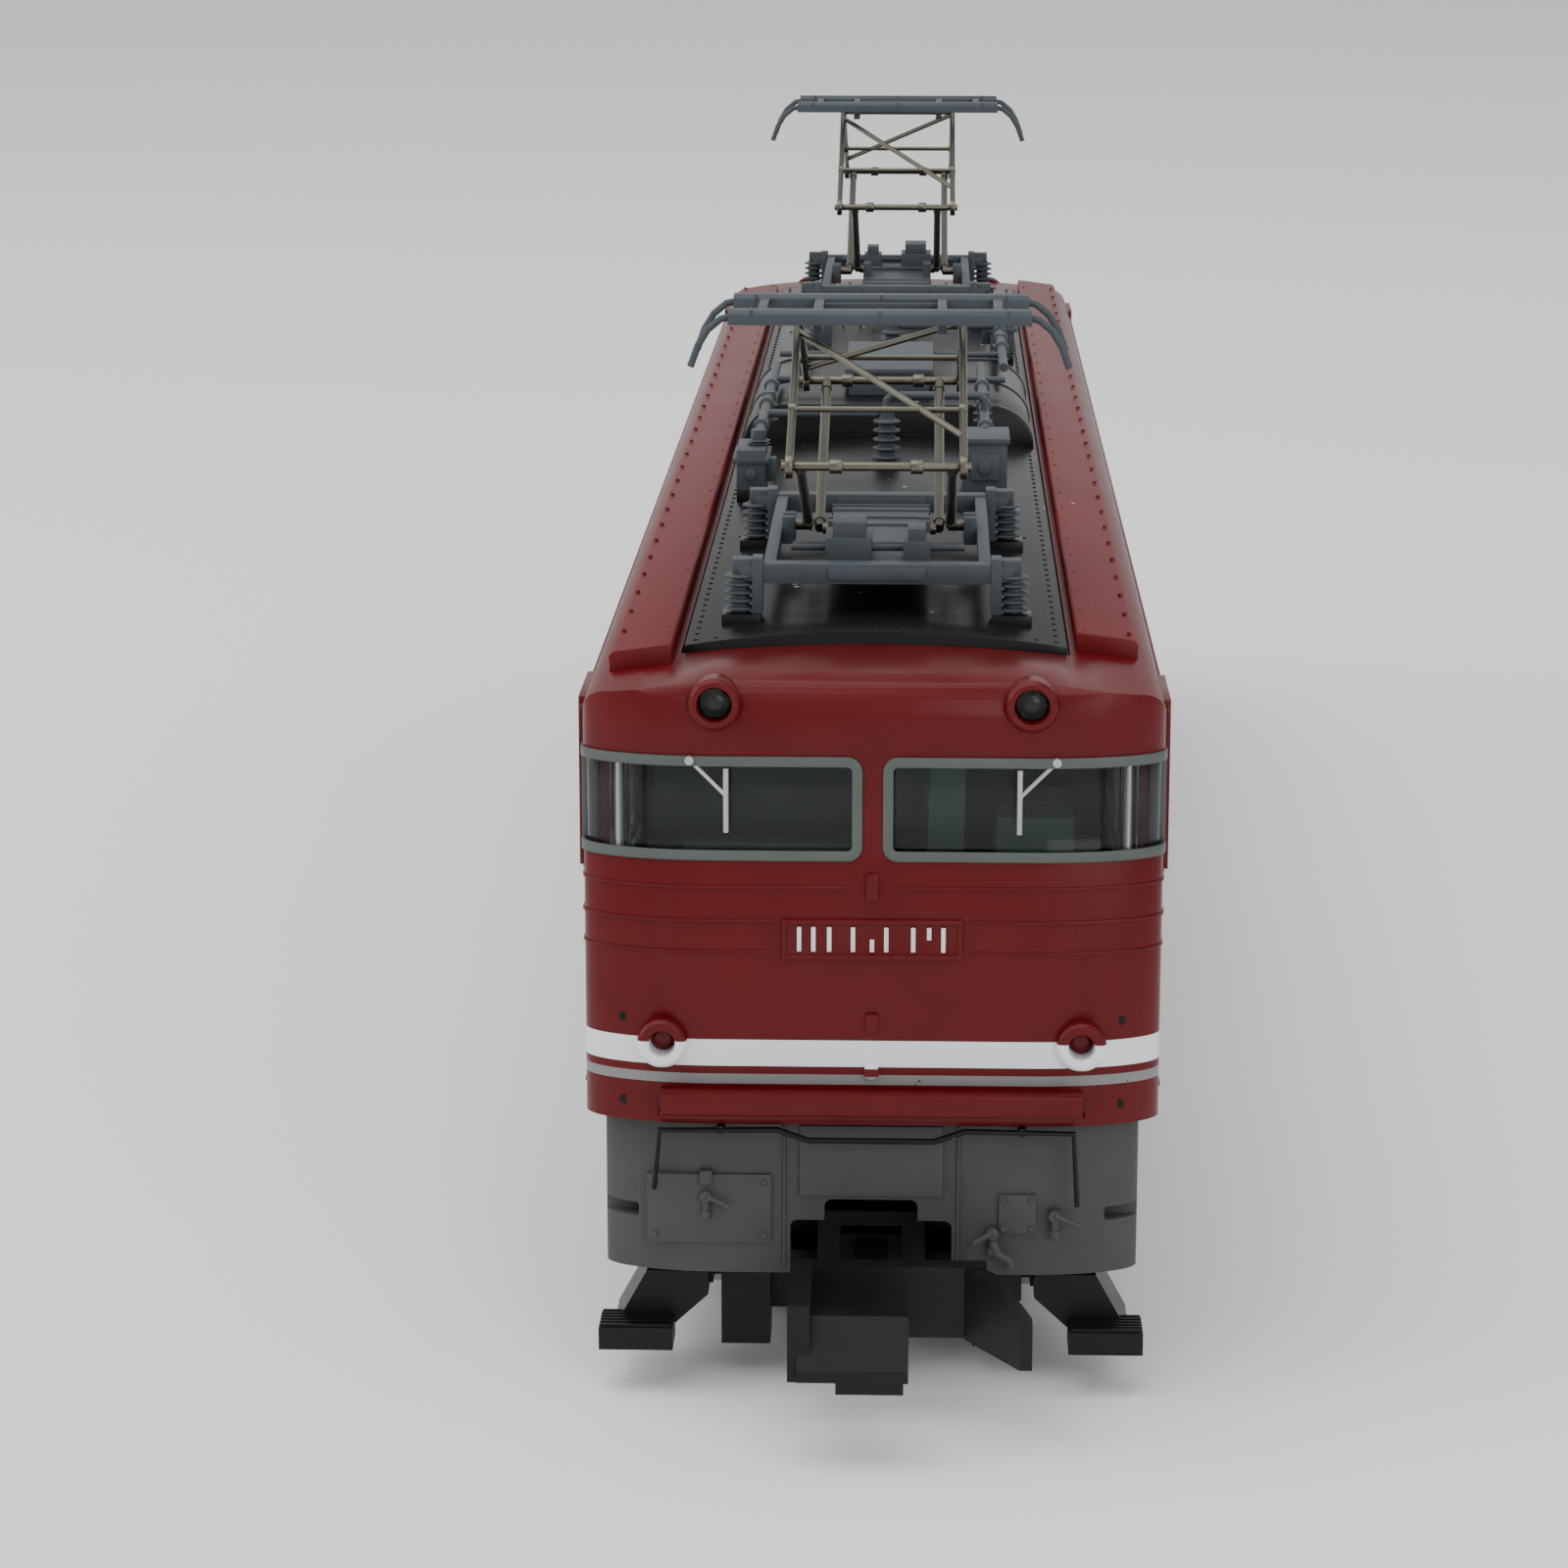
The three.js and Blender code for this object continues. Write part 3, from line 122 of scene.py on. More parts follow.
class Shader:
    """A material's tree. add() makes a node from its type, its settings and its inputs."""

    def __init__(self, name):
        self.material = bpy.data.materials.new(name)
        self.material.use_nodes = True
        self.tree = self.material.node_tree
        self.surface = self.tree.nodes["Principled BSDF"]
        self.shown = self.add("ShaderNodeTexCoord", "Object")

    def add(self, kind, output=0, inputs=None, **settings):
        node = self.tree.nodes.new(kind)
        for key, value in settings.items():
            setattr(node, key, value)
        for key, value in (inputs or {}).items():
            plug(self.tree, node.inputs[key], value)
        return Socket(self.tree, node.outputs[output])

    def place(self):
        """Object coordinates in millimetres as X, Y and Z sockets."""
        split = self.tree.nodes.new("ShaderNodeSeparateXYZ")
        plug(self.tree, split.inputs[0], self.shown)
        return [Socket(self.tree, out) * 1000 for out in split.outputs]

    def noise(self, scale, detail=3, output="Fac"):
        return self.add(
            "ShaderNodeTexNoise",
            output,
            {"Vector": self.shown, "Scale": scale * 1000, "Detail": detail},
        )

    def blend(self, share, a, b):
        node = self.tree.nodes.new("ShaderNodeMix")
        node.data_type = "RGBA"
        plug(self.tree, node.inputs["Factor"], share)
        for key, value in (("A", a), ("B", b)):
            plug(self.tree, [i for i in node.inputs if i.name == key and i.type == "RGBA"][0], value)
        return Socket(self.tree, [o for o in node.outputs if o.type == "RGBA"][0])

    def set(self, **inputs):
        for key, value in inputs.items():
            plug(self.tree, self.surface.inputs[key.replace("_", " ")], value)

    def bump(self, height, strength, depth):
        node = self.add(
            "ShaderNodeBump",
            "Normal",
            {"Height": height, "Strength": strength, "Distance": depth * MM},
        )
        self.set(Normal=node)


def specks(shader, scale, amount):
    """Small scattered grains of dust as a mask."""
    cells = shader.add(
        "ShaderNodeTexVoronoi", "Distance", {"Vector": shader.shown, "Scale": scale * 1000}
    )
    patches = shader.noise(scale * 0.35, 2)
    return cells.under(0.16) * patches.over(1 - amount)


def plastic(name, colour, rough=(0.35, 0.55), dust=0.3, bump=0.12, metal=0.0, marks=None, shine=0.2):
    """A moulded or metal finish with mottled colour, uneven gloss, fine grain and dust."""
    shader = Shader(name)
    broad, fine = shader.noise(0.35), shader.noise(9)
    dark = [c * 0.82 for c in colour]
    light = [min(1, c * 1.12 + 0.004) for c in colour]
    tone = shader.blend(broad, dark, light)
    if marks:
        tone = marks(shader, tone)
    grains = specks(shader, 1.6, dust)
    shader.set(Base_Color=shader.blend(grains * 0.7, tone, (0.55, 0.53, 0.5)))
    shader.set(Metallic=metal, Specular_IOR_Level=shine)
    shader.set(Roughness=rough[0] + (fine * 0.5 + broad * 0.5) * (rough[1] - rough[0]) + grains * 0.2)
    shader.bump(fine + grains * 1.5, bump, 0.03)
    return shader.material


def livery(shader, tone):
    """The white stripe and the silver line that run across each cab front and its corners."""
    _, y, z = shader.place()
    ends = y.size().over(52.4)
    worn = shader.noise(5).over(0.28)
    white = z.between(11.23, 12.1) * ends
    silver = z.between(10.64, 10.97) * ends * worn
    striped = shader.blend(white, tone, (0.72, 0.74, 0.76))
    return shader.blend(silver, striped, (0.2, 0.2, 0.2))


def brushed(name, colour, rough=(0.25, 0.45), metal=1.0):
    """Bare metal with fine scratches and darker patches."""
    shader = Shader(name)
    stretch = shader.add(
        "ShaderNodeMapping", 0, {"Vector": shader.shown, "Scale": (1, 0.12, 1)}
    )
    lines = shader.add("ShaderNodeTexNoise", "Fac", {"Vector": stretch, "Scale": 9000, "Detail": 4})
    patches = shader.noise(0.8)
    shader.set(Base_Color=shader.blend(patches, [c * 0.7 for c in colour], colour))
    shader.set(Metallic=metal, Roughness=rough[0] + lines * (rough[1] - rough[0]))
    shader.bump(lines, 0.15, 0.02)
    return shader.material


def clear(name, tint, rough=0.03):
    """Clear moulding with faint smears."""
    shader = Shader(name)
    shader.set(Base_Color=tint, Transmission_Weight=1.0, IOR=1.28)
    smears = shader.noise(0.9)
    shader.set(Roughness=rough + smears.over(0.6) * 0.05)
    return shader.material


look = {
    "red": plastic("red moulding", (0.094, 0.0006, 0.002), (0.24, 0.42), 0.2, 0.08, marks=livery),
    "roof_red": plastic("red roof", (0.118, 0.0035, 0.0056), (0.32, 0.5), 0.28, 0.15),
    "black": plastic("black moulding", (0.0055, 0.0055, 0.006), (0.3, 0.5), 0.3, 0.13),
    "roof_black": plastic("black roof", (0.0055, 0.0058, 0.0062), (0.2, 0.42), 0.36),
    "grey": plastic("skirt grey", (0.056, 0.06, 0.054), (0.45, 0.62), 0.2),
    "slate": plastic("blue-grey moulding", (0.056, 0.067, 0.077), (0.38, 0.58), 0.25),
    "frame": plastic("window frame grey", (0.08, 0.095, 0.086), (0.35, 0.5), 0.15),
    "green": plastic("cab green", (0.035, 0.075, 0.052), (0.5, 0.65), 0.1),
    "nylon": plastic("natural nylon", (0.62, 0.6, 0.53), (0.4, 0.55), 0.05),
    "board": plastic("circuit board", (0.015, 0.1, 0.045), (0.3, 0.5), 0.1),
    "white": plastic("white mark", (0.7, 0.7, 0.68), (0.35, 0.5), 0.1),
    "silver": plastic("silver paint", (0.42, 0.42, 0.41), (0.3, 0.45), 0.1, metal=0.6),
    # Near-black finish used as painted shade inside the lamp bores and handrail socket holes.
    "dark": plastic("painted hollow shade", (0.004, 0.004, 0.004), (0.4, 0.6), 0.0),
    "tail": plastic("tail lens red", (0.12, 0.004, 0.006), (0.12, 0.2), 0.0),
    "bronze": brushed("olive-brown wire", (0.15, 0.142, 0.112), (0.28, 0.45)),
    "steel": brushed("turned steel", (0.46, 0.46, 0.45)),
    "zinc": brushed("cast zinc", (0.26, 0.27, 0.28), (0.45, 0.62)),
    "brass": brushed("turned brass", (0.5, 0.33, 0.1)),
    "clear": clear("clear moulding", (0.66, 0.7, 0.7)),
}
print("materials:", len(look))

# %% [markdown]
# ## Building blocks for shapes
# Solids are drawn in millimetres: boxes, round bars, outlines pushed along an axis, swept wires and
# turned profiles. Cuts and joins use exact Booleans, and a narrow bevel catches the light.


# %% Solid helpers
def link(mesh, name="solid"):
    shown = bpy.data.objects.new(name, mesh)
    bpy.context.scene.collection.objects.link(shown)
    return shown


def solid(vertices, faces, name="solid"):
    mesh = bpy.data.meshes.new(name)
    mesh.from_pydata([tuple(v) for v in vertices], [], faces)
    made = bmesh.new()
    made.from_mesh(mesh)
    bmesh.ops.recalc_face_normals(made, faces=made.faces)
    made.to_mesh(mesh)
    made.free()
    return link(mesh, name)


def prism(axis, outline, span):
    """An outline in (y, z) pushed along x, in (x, z) along y, or in (x, y) along z."""
    order = {
        "x": lambda u, v, w: (w, u, v),
        "y": lambda u, v, w: (u, w, v),
        "z": lambda u, v, w: (u, v, w),
    }
    n = len(outline)
    points = [order[axis](u, v, w) for w in span for u, v in outline]
    sides = [(i, (i + 1) % n, n + (i + 1) % n, n + i) for i in range(n)]
    return solid(points, [tuple(range(n)), tuple(range(n, 2 * n)), *sides])


def box(x, y, z):
    return prism("z", [(x[0], y[0]), (x[1], y[0]), (x[1], y[1]), (x[0], y[1])], z)


def rod(axis, radius, span, centre, sides=32):
    ring = [
        (
            centre[0] + radius * math.cos(2 * math.pi * i / sides),
            centre[1] + radius * math.sin(2 * math.pi * i / sides),
        )
        for i in range(sides)
    ]
    return prism(axis, ring, span)


def wire(points, radius, sides=10, flat=1.0):
    """A round wire through points. flat below 1 squeezes nothing: it is kept round."""
    curve = bpy.data.curves.new("wire", "CURVE")
    curve.dimensions = "3D"
    curve.bevel_depth = radius * flat
    curve.bevel_resolution = max(1, sides // 4)
    curve.use_fill_caps = True
    line = curve.splines.new("POLY")
    line.points.add(len(points) - 1)
    for spot, at in zip(line.points, points):
        spot.co = (*at, 1)
    holder = link_data(curve)
    mesh = evaluated(holder)
    bpy.data.objects.remove(holder)
    return link(mesh)


def link_data(data):
    holder = bpy.data.objects.new("holder", data)
    bpy.context.scene.collection.objects.link(holder)
    return holder


def evaluated(shown):
    """The mesh of an object with its modifiers applied."""
    graph = bpy.context.evaluated_depsgraph_get()
    return bpy.data.meshes.new_from_object(shown.evaluated_get(graph))


def turned(profile, axis, centre, sides=48):
    """A profile of (radius, place) pairs turned about an axis through centre."""
    points, faces = [], []
    for r, along in profile:
        for i in range(sides):
            a = 2 * math.pi * i / sides
            u, v = centre[0] + r * math.cos(a), centre[1] + r * math.sin(a)
            points.append({"x": (along, u, v), "y": (u, along, v), "z": (u, v, along)}[axis])
    n = len(profile)
    for k in range(n - 1):
        for i in range(sides):
            j = (i + 1) % sides
            faces.append((k * sides + i, k * sides + j, (k + 1) * sides + j, (k + 1) * sides + i))
    faces += [tuple(range(sides)), tuple(range((n - 1) * sides, n * sides))]
    return solid(points, faces)


def drop(*shown):
    for one in shown:
        bpy.data.objects.remove(one)


def boolean(operation, first, *tools):
    """Cuts, joins or intersects first with each tool. The tools are used up."""
    for tool in tools:
        step = first.modifiers.new("boolean", "BOOLEAN")
        step.operation = operation
        step.solver = "EXACT"
        step.object = tool
        mesh = evaluated(first)
        first.modifiers.clear()
        first.data = mesh
        drop(tool)
    return first


def cut(first, *tools):
    return boolean("DIFFERENCE", first, *tools)


def common(first, *tools):
    return boolean("INTERSECT", first, *tools)


def together(*shown):
    """Puts several solids into one mesh without a Boolean."""
    made = bmesh.new()
    for one in flat(shown):
        made.from_mesh(one.data)
        drop(one)
    mesh = bpy.data.meshes.new("group")
    made.to_mesh(mesh)
    made.free()
    return link(mesh)


def flat(items):
    return [y for x in items for y in (flat(x) if isinstance(x, (list, tuple)) else [x])]


def moved(shown, matrix, keep=False):
    """The solid, or a copy of it, with a matrix applied to its vertices."""
    target = link(shown.data.copy()) if keep else shown
    target.data.transform(matrix)
    return target


half_turn = Matrix.Rotation(math.pi, 4, "Z")


def piece(name, shown, finish, body, slot, replaces=(), bevel=0.05, angle=35, segments=2):
    """Bevels a solid, scales it to metres, gives it its finish and ties it to the frame."""
    if bevel:
        edge = shown.modifiers.new("bevel", "BEVEL")
        edge.width, edge.segments, edge.limit_method = bevel, segments, "ANGLE"
        edge.angle_limit = math.radians(angle)
        mesh = evaluated(shown)
        shown.modifiers.clear()
        shown.data = mesh
    shown.data.transform(Matrix.Scale(MM, 4))
    for face in shown.data.polygons:
        face.use_smooth = True
    shown.data.set_sharp_from_angle(angle=math.radians(angle))
    shown.name = shown.data.name = name
    shown.data.materials.clear()
    shown.data.materials.append(look[finish])
    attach(shown, body)
    if replaces:
        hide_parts(*([replaces] if isinstance(replaces, str) else replaces))
    return shown


def at_both_ends(name, shown, finish, slot, body="chassis", replaces=None, **bevel):
    """The same piece at the front and, turned half round, at the rear."""
    rear = moved(shown, half_turn, keep=True)
    for end, one in (("front", shown), ("rear", rear)):
        piece(
            f"{name}_{end}",
            one,
            finish,
            body.format(end),
            slot,
            (replaces.format(end),) if replaces else (),
            **bevel,
        )


def mirrored(make):
    return [make(-1), make(1)]


# %% [markdown]
# ## Body outlines
# The same outlines as the CAD body, with more points on each curve.

# %% Outlines
HALF, WIDE = 54.5, 9.2
SILL, EAVES, CROWN = 9.3, 22.5, 23.85
SHOULDER = WIDE - 0.9


def arc(centre, radii, start, end, steps=12):
    return [
        (
            centre[0] + radii[0] * math.cos(math.radians(start + (end - start) * i / steps)),
            centre[1] + radii[1] * math.sin(math.radians(start + (end - start) * i / steps)),
        )
        for i in range(steps + 1)
    ]


def plan(inset, steps=14):
    x, y = WIDE - inset, HALF - inset
    bend = (4.2 - inset / 2, 1.6 - inset / 2)
    return (
        arc((bend[0] - x, bend[1] - y), bend, 180, 270, steps)
        + arc((x - bend[0], bend[1] - y), bend, 270, 360, steps)
        + arc((x - bend[0], y - bend[1]), bend, 0, 90, steps)
        + arc((bend[0] - x, y - bend[1]), bend, 90, 180, steps)
    )


def roof_z(x):
    return CROWN - 0.6 * (x / SHOULDER) ** 2


def body_block(inset, roof_inset, bottom):
    side, shoulder, front = WIDE - inset, SHOULDER - inset / 2, HALF - inset
    bend = (side - shoulder, roof_z(shoulder) - EAVES)
    edge = arc((shoulder, EAVES - roof_inset), bend, 0, 90, 8)
    crown = [(shoulder * s / 8, roof_z(shoulder * s / 8) - roof_inset) for s in range(7, -8, -1)]
    section = [(-side, bottom), (side, bottom), *edge, *crown, *[(-x, z) for x, z in edge[::-1]]]
    top = CROWN - roof_inset
    elevation = [
        (-front, bottom),
        (front, bottom),
        *arc((front - 1.3, top - 1.3), (1.3, 1.3), 0, 90, 10),
        *arc((1.3 - front, top - 1.3), (1.3, 1.3), 90, 180, 10),
    ]
    return common(
        prism("y", section, (-HALF - 0.01, HALF + 0.01)),
        prism("x", elevation, (-WIDE - 0.01, WIDE + 0.01)),
        prism("z", plan(inset), (bottom - 0.01, CROWN + 1)),
    )


def rounded(x, y, radius, steps=8):
    r = (radius, radius)
    return (
        arc((x[0] + radius, y[0] + radius), r, 180, 270, steps)
        + arc((x[1] - radius, y[0] + radius), r, 270, 360, steps)
        + arc((x[1] - radius, y[1] - radius), r, 0, 90, steps)
        + arc((x[0] + radius, y[1] - radius), r, 90, 180, steps)
    )


def set_back(x):
    over = max(0, abs(x) - 5) / 4.2
    return 1.6 * (1 - math.sqrt(max(0, 1 - over**2)))


def front_window(grow, wrap, side):
    outline = rounded((0.35 - grow, WIDE + 2), (18 - grow, 21.3 + grow), 0.45 + grow)
    if side < 0:
        outline = [(-x, z) for x, z in outline]
    return prism("y", outline, (-HALF - 1, wrap - HALF))


def skin(proud, z, depth=0.4, reach=2.1):
    """A strip that follows the cab front at a height, standing proud of it."""
    ring = cut(
        prism("z", plan(-proud), z), prism("z", plan(depth), (z[0] - 1, z[1] + 1))
    )
    return common(ring, box((-10, 10), (-HALF - 1, reach - HALF), (z[0] - 0.01, z[1] + 0.01)))


def openings(side, shrink):
    made = []
    inner = WIDE - 1.1
    spans = [((3.1 - HALF, 5.6 - HALF), (18.2, 21.4), 9.4), ((HALF - 5.6, HALF - 3.1), (18.2, 21.4), 9.4)]
    spans += [((y - 2.5, y + 2.5), (18.6, 21.2), WIDE) for y in (-33, -11, 11, 33)]
    for y, z, outer in spans:
        x = sorted((side * inner, side * (outer - shrink)))
        outline = rounded((y[0] + shrink, y[1] - shrink), (z[0] + shrink, z[1] - shrink), 0.3)
        made.append(prism("x", outline, x))
    return made


print("plan points:", len(plan(0)))

# %% [markdown]
# ## Red body
# The shell is three outlines intersected and hollowed, with the cab windows wrapping round the
# corners. Raised lines, ribs and lamp housings sit on the front.

# %% Shell
shell = body_block(0, 0, SILL)
pads = [
    box(sorted((s * (WIDE - 0.5), s * 9.4)), y, (17.2, 22.7))
    for s in (-1, 1)
    for y in ((2.4 - HALF, 6.3 - HALF), (HALF - 6.3, HALF - 2.4))
]
shell = boolean("UNION", shell, *pads)
shell = cut(shell, body_block(1, 0.7, SILL - 1))
for side in (-1, 1):
    window = front_window(0, 2.2, side)
    shell = cut(shell, moved(window, half_turn, keep=True), window)
    shell = cut(shell, *openings(side, -0.01))
    for x, z, r, depth in ((4.95, 23, 0.54, 2.5), (6.65, 12, 0.41, 0.8)):
        bore = rod("y", r, (-HALF - 1, depth - HALF), (side * x, z), 40)
        shell = cut(shell, moved(bore, half_turn, keep=True), bore)
shell = cut(
    shell,
    box((-6.3, 6.3), (-49.1, 49.1), (23.2, CROWN + 1)),
    box((-5.7, 5.7), (-48.5, 48.5), (20, CROWN + 1)),
)
piece("body_shell_fine", shell, "red", "chassis", "body_red", "body_shell", bevel=0.07)
print("shell faces:", len(shell.data.polygons))


# %% Raised work on the cab fronts
def lamp_ring(x, z, bore, rim, proud, side):
    front = set_back(x) - HALF
    profile = [
        (bore, front + 0.6),
        (bore, front - proud + 0.06),
        (bore + 0.06, front - proud),
        (rim - 0.12, front - proud),
        (rim, front - proud + 0.14),
        (rim, front + 0.7),
    ]
    ring = turned([*profile], "y", (side * x, z), 48)
    return cut(ring, rod("y", bore, (-HALF - 2, front + 2), (side * x, z), 48))


head_rings = mirrored(lambda s: lamp_ring(4.95, 23, 0.54, 0.83, 0.3, s))
tail_rings = mirrored(lambda s: lamp_ring(6.65, 12, 0.41, 0.8, 0.45, s))
rings = flat([head_rings, tail_rings])
lines = [skin(0.06, (15.95, 16.07)), skin(0.05, (17.05, 17.17)), skin(0.05, (14.95, 15.05))]
breaks = [(3.1, 15), (0.8, 15), (3.1, 14)]
lines = [
    cut(line, box((-wide, wide), (-60, -50), (low, 18)))
    for line, (wide, low) in zip(lines, breaks)
]
ribs = [
    box((-0.2, 0.2), (-HALF - 0.16, 0.2 - HALF), z) for z in ((12.4, 13), (16.7, 17.6))
]
centre_boss = rod("y", 0.25, (-HALF - 0.22, 0.2 - HALF), (0, 11.1), 24)
plate_rim = cut(
    box((-2.85, 2.85), (-HALF - 0.16, 0.1 - HALF), (14.8, 16.1)),
    box((-2.7, 2.7), (-HALF - 1, -HALF - 0.06), (14.95, 15.95)),
)
step_bar = box((-6.7, 6.7), (-HALF - 0.7, 0.2 - HALF), (9.8, 10.5))
step_lip = box((-6.8, 6.8), (-HALF - 0.5, 0.2 - HALF), (9.6, 9.75))
raised = together(rings, lines, ribs, centre_boss, plate_rim, step_bar, step_lip)
at_both_ends("front_trim", raised, "red", "body_red", bevel=0.035)

# %% Roof strips, gutters and seams on the body
strips = []
for side in (-1, 1):
    ends = (-50.7, 48.3) if side < 0 else (-48.3, 50.7)
    section = [(6.5, 23.15), (8.5, 23), (8.55, 23.7), (8.4, 23.87), (6.62, 24.11), (6.5, 24.05)]
    strips.append(prism("y", [(side * x, z) for x, z in section], ends))
piece("roof_strips", together(strips), "roof_red", "chassis", "body_red", bevel=0.06)
gutters = [box(sorted((s * 9.15, s * 9.32)), (-52.6, 52.6), (22.35, 22.5)) for s in (-1, 1)]
seams = [
    box(sorted((s * 9.15, s * 9.26)), (-52.6, 52.6), z)
    for s in (-1, 1)
    for z in ((17.2, 17.32), (10.1, 10.25))
]
piece("side_trim", together(gutters, seams), "red", "chassis", "body_red", bevel=0.03)
print("strips and gutters done")

# %% [markdown]
# ## Repeated small parts
# One Geometry Nodes group copies a small solid onto points. Rivets, bolts and louvre slats all come from
# it.


# %% Scatter group
def scatter_group():
    group = bpy.data.node_groups.new("Copies on points", "GeometryNodeTree")
    for name, kind in (
        ("Points", "NodeSocketGeometry"),
        ("Part", "NodeSocketObject"),
        ("Finish", "NodeSocketMaterial"),
        ("Size Spread", "NodeSocketFloat"),
        ("Seed", "NodeSocketInt"),
    ):
        group.interface.new_socket(name, in_out="INPUT", socket_type=kind)
    group.interface.new_socket("Copies", in_out="OUTPUT", socket_type="NodeSocketGeometry")
    add = group.nodes.new
    entry, leave = add("NodeGroupInput"), add("NodeGroupOutput")
    part, copies = add("GeometryNodeObjectInfo"), add("GeometryNodeInstanceOnPoints")
    spread, join = add("FunctionNodeRandomValue"), add("GeometryNodeRealizeInstances")
    finish, low, high = add("GeometryNodeSetMaterial"), add("ShaderNodeMath"), add("ShaderNodeMath")
    low.operation, high.operation = "SUBTRACT", "ADD"
    low.inputs[0].default_value = high.inputs[0].default_value = 1
    for source, target in (
        (entry.outputs["Points"], copies.inputs["Points"]),
        (entry.outputs["Part"], part.inputs["Object"]),
        (part.outputs["Geometry"], copies.inputs["Instance"]),
        (entry.outputs["Size Spread"], low.inputs[1]),
        (entry.outputs["Size Spread"], high.inputs[1]),
        (low.outputs[0], spread.inputs[2]),
        (high.outputs[0], spread.inputs[3]),
        (entry.outputs["Seed"], spread.inputs["Seed"]),
        (spread.outputs[1], copies.inputs["Scale"]),
        (copies.outputs["Instances"], join.inputs["Geometry"]),
        (join.outputs["Geometry"], finish.inputs["Geometry"]),
        (entry.outputs["Finish"], finish.inputs["Material"]),
        (finish.outputs["Geometry"], leave.inputs["Copies"]),
    ):
        group.links.new(source, target)
    return group


copies_on_points = scatter_group()


def copies(name, part, points, finish, body, slot, spread=0.06, seed=3):
    """Copies of a small solid at points, as one plain mesh tied to a body."""
    mesh = bpy.data.meshes.new(name)
    mesh.from_pydata(points, [], [])
    holder = link(mesh, name)
    step = holder.modifiers.new("copies", "NODES")
    step.node_group = copies_on_points
    wanted = {"Part": part, "Finish": look[finish], "Size Spread": spread, "Seed": seed}
    for item in copies_on_points.interface.items_tree:
        if item.in_out == "INPUT" and item.name in wanted:
            step[item.identifier] = wanted[item.name]
    made = evaluated(holder)
    drop(holder, part)
    return piece(name, link(made, name), finish, body, slot, bevel=0)


def dome(radius, height):
    """A rivet head that points up, with its foot a little below zero."""
    profile = [(radius, -0.05), (radius, 0), (radius * 0.8, height * 0.7), (radius * 0.35, height)]
    return turned(profile, "z", (0, 0), 10)


def spaced(start, end, step):
    count = max(1, round((end - start) / step))
    return [start + (end - start) * i / count for i in range(count + 1)]


roof_spots = [
    (s * x, y, 24.09 - 0.13 * (x - 6.5) / 1.9)
    for s in (-1, 1)
    for x in (6.75, 8.25)
    for y in spaced(-47.6, 47.6, 3.4)
]
copies("roof_strip_rivets", dome(0.09, 0.05), roof_spots, "roof_red", "chassis", "body_red")
slat = prism("x", [(-1.7, 0), (1.7, 0), (1.7, 0.16), (-1.7, 0.16)], (-0.06, 0.06))
slat_spots = [
    (s * 9.22, y, z)
    for s in (-1, 1)
    for y in (-38.5, -27, -16.5, -5, 5, 16.5, 27, 38.5)
    for z in spaced(11.6, 16.4, 0.42)
]
copies("side_louvres", slat, slat_spots, "red", "chassis", "body_red", spread=0.0)
print("rivets:", len(roof_spots), "slats:", len(slat_spots))

# %% [markdown]
# ## Windows, lamps and wipers
# Clear glazing fills the wrap-round windows, with a grey frame round each and a silver corner post.


# %% Glazing
def cab_glass():
    band = cut(
        prism("z", plan(1.05), (17.4, 22.05)), prism("z", plan(1.35), (17, 22.5))
    )
    blocks = cut(prism("z", plan(0.1), (18, 21.3)), prism("z", plan(1.2), (17, 22.5)))
    made = []
    for side in (-1, 1):
        part = moved(blocks, Matrix(), keep=True)
        made.append(common(part, front_window(-0.05, 2.15, side)))
    drop(blocks)
    return common(boolean("UNION", band, *made), box((-10, 10), (-HALF, 2.5 - HALF), (17, 22.5)))


at_both_ends("cab_glass", cab_glass(), "clear", "clear", replaces="cab_glazing_{}", bevel=0.02)
for side, name in ((-1, "left"), (1, "right")):
    strip = box(sorted((side * 8.15, side * 7.75)), (-51.7, 51.7), (17.7, 21.8))
    strip = boolean("UNION", strip, *openings(side, 0.05))
    piece(f"side_glass_{name}", strip, "clear", "chassis", "clear", f"side_glazing_{name}", bevel=0.02)


def window_frame(side):
    """A raised rim round one cab window, following the corner of the cab."""
    ring = cut(prism("z", plan(-0.07), (17, 22.5)), prism("z", plan(0.04), (16, 23)))
    ring = common(ring, front_window(0.03, 1.95, side))
    return cut(ring, front_window(-0.3, 3, side))


frames = [window_frame(s) for s in (-1, 1)]
end_posts = [
    box(sorted((s * 8.6, s * 9.26)), (1.75 - HALF, 2.2 - HALF), (18, 21.3)) for s in (-1, 1)
]
at_both_ends("window_frames", together(frames, end_posts), "frame", "body_red", bevel=0.03)
side_frames = []
for side in (-1, 1):
    for y in (-33, -11, 11, 33):
        outer = rounded((y - 2.75, y + 2.75), (18.35, 21.45), 0.45)
        inner = rounded((y - 2.45, y + 2.45), (18.65, 21.15), 0.3)
        ring = prism("x", outer, sorted((side * 9.1, side * 9.27)))
        hole = prism("x", inner, sorted((side * 9, side * 9.5)))
        side_frames.append(cut(ring, hole))
piece("side_window_frames", together(side_frames), "frame", "chassis", "body_red", bevel=0.02)
posts = [
    rod("z", 0.15, (17.9, 21.4), (s * 8.0, set_back(8.0) - HALF + 0.28), 16) for s in (-1, 1)
]
at_both_ends("corner_posts", together(posts), "silver", "body_red", bevel=0)


# %% Wipers and lamps
def wiper(side):
    y = -HALF - 0.08
    blade = [(side * 4.6, y, 18.9), (side * 4.6, y, 20.95)]
    arm = [(side * 5.75, y + 0.12, 21.2), (side * 4.62, y, 20.1)]
    knob = rod("y", 0.14, (y - 0.05, y + 0.3), (side * 5.75, 21.2), 16)
    return [wire(blade, 0.09), wire(arm, 0.07), knob]


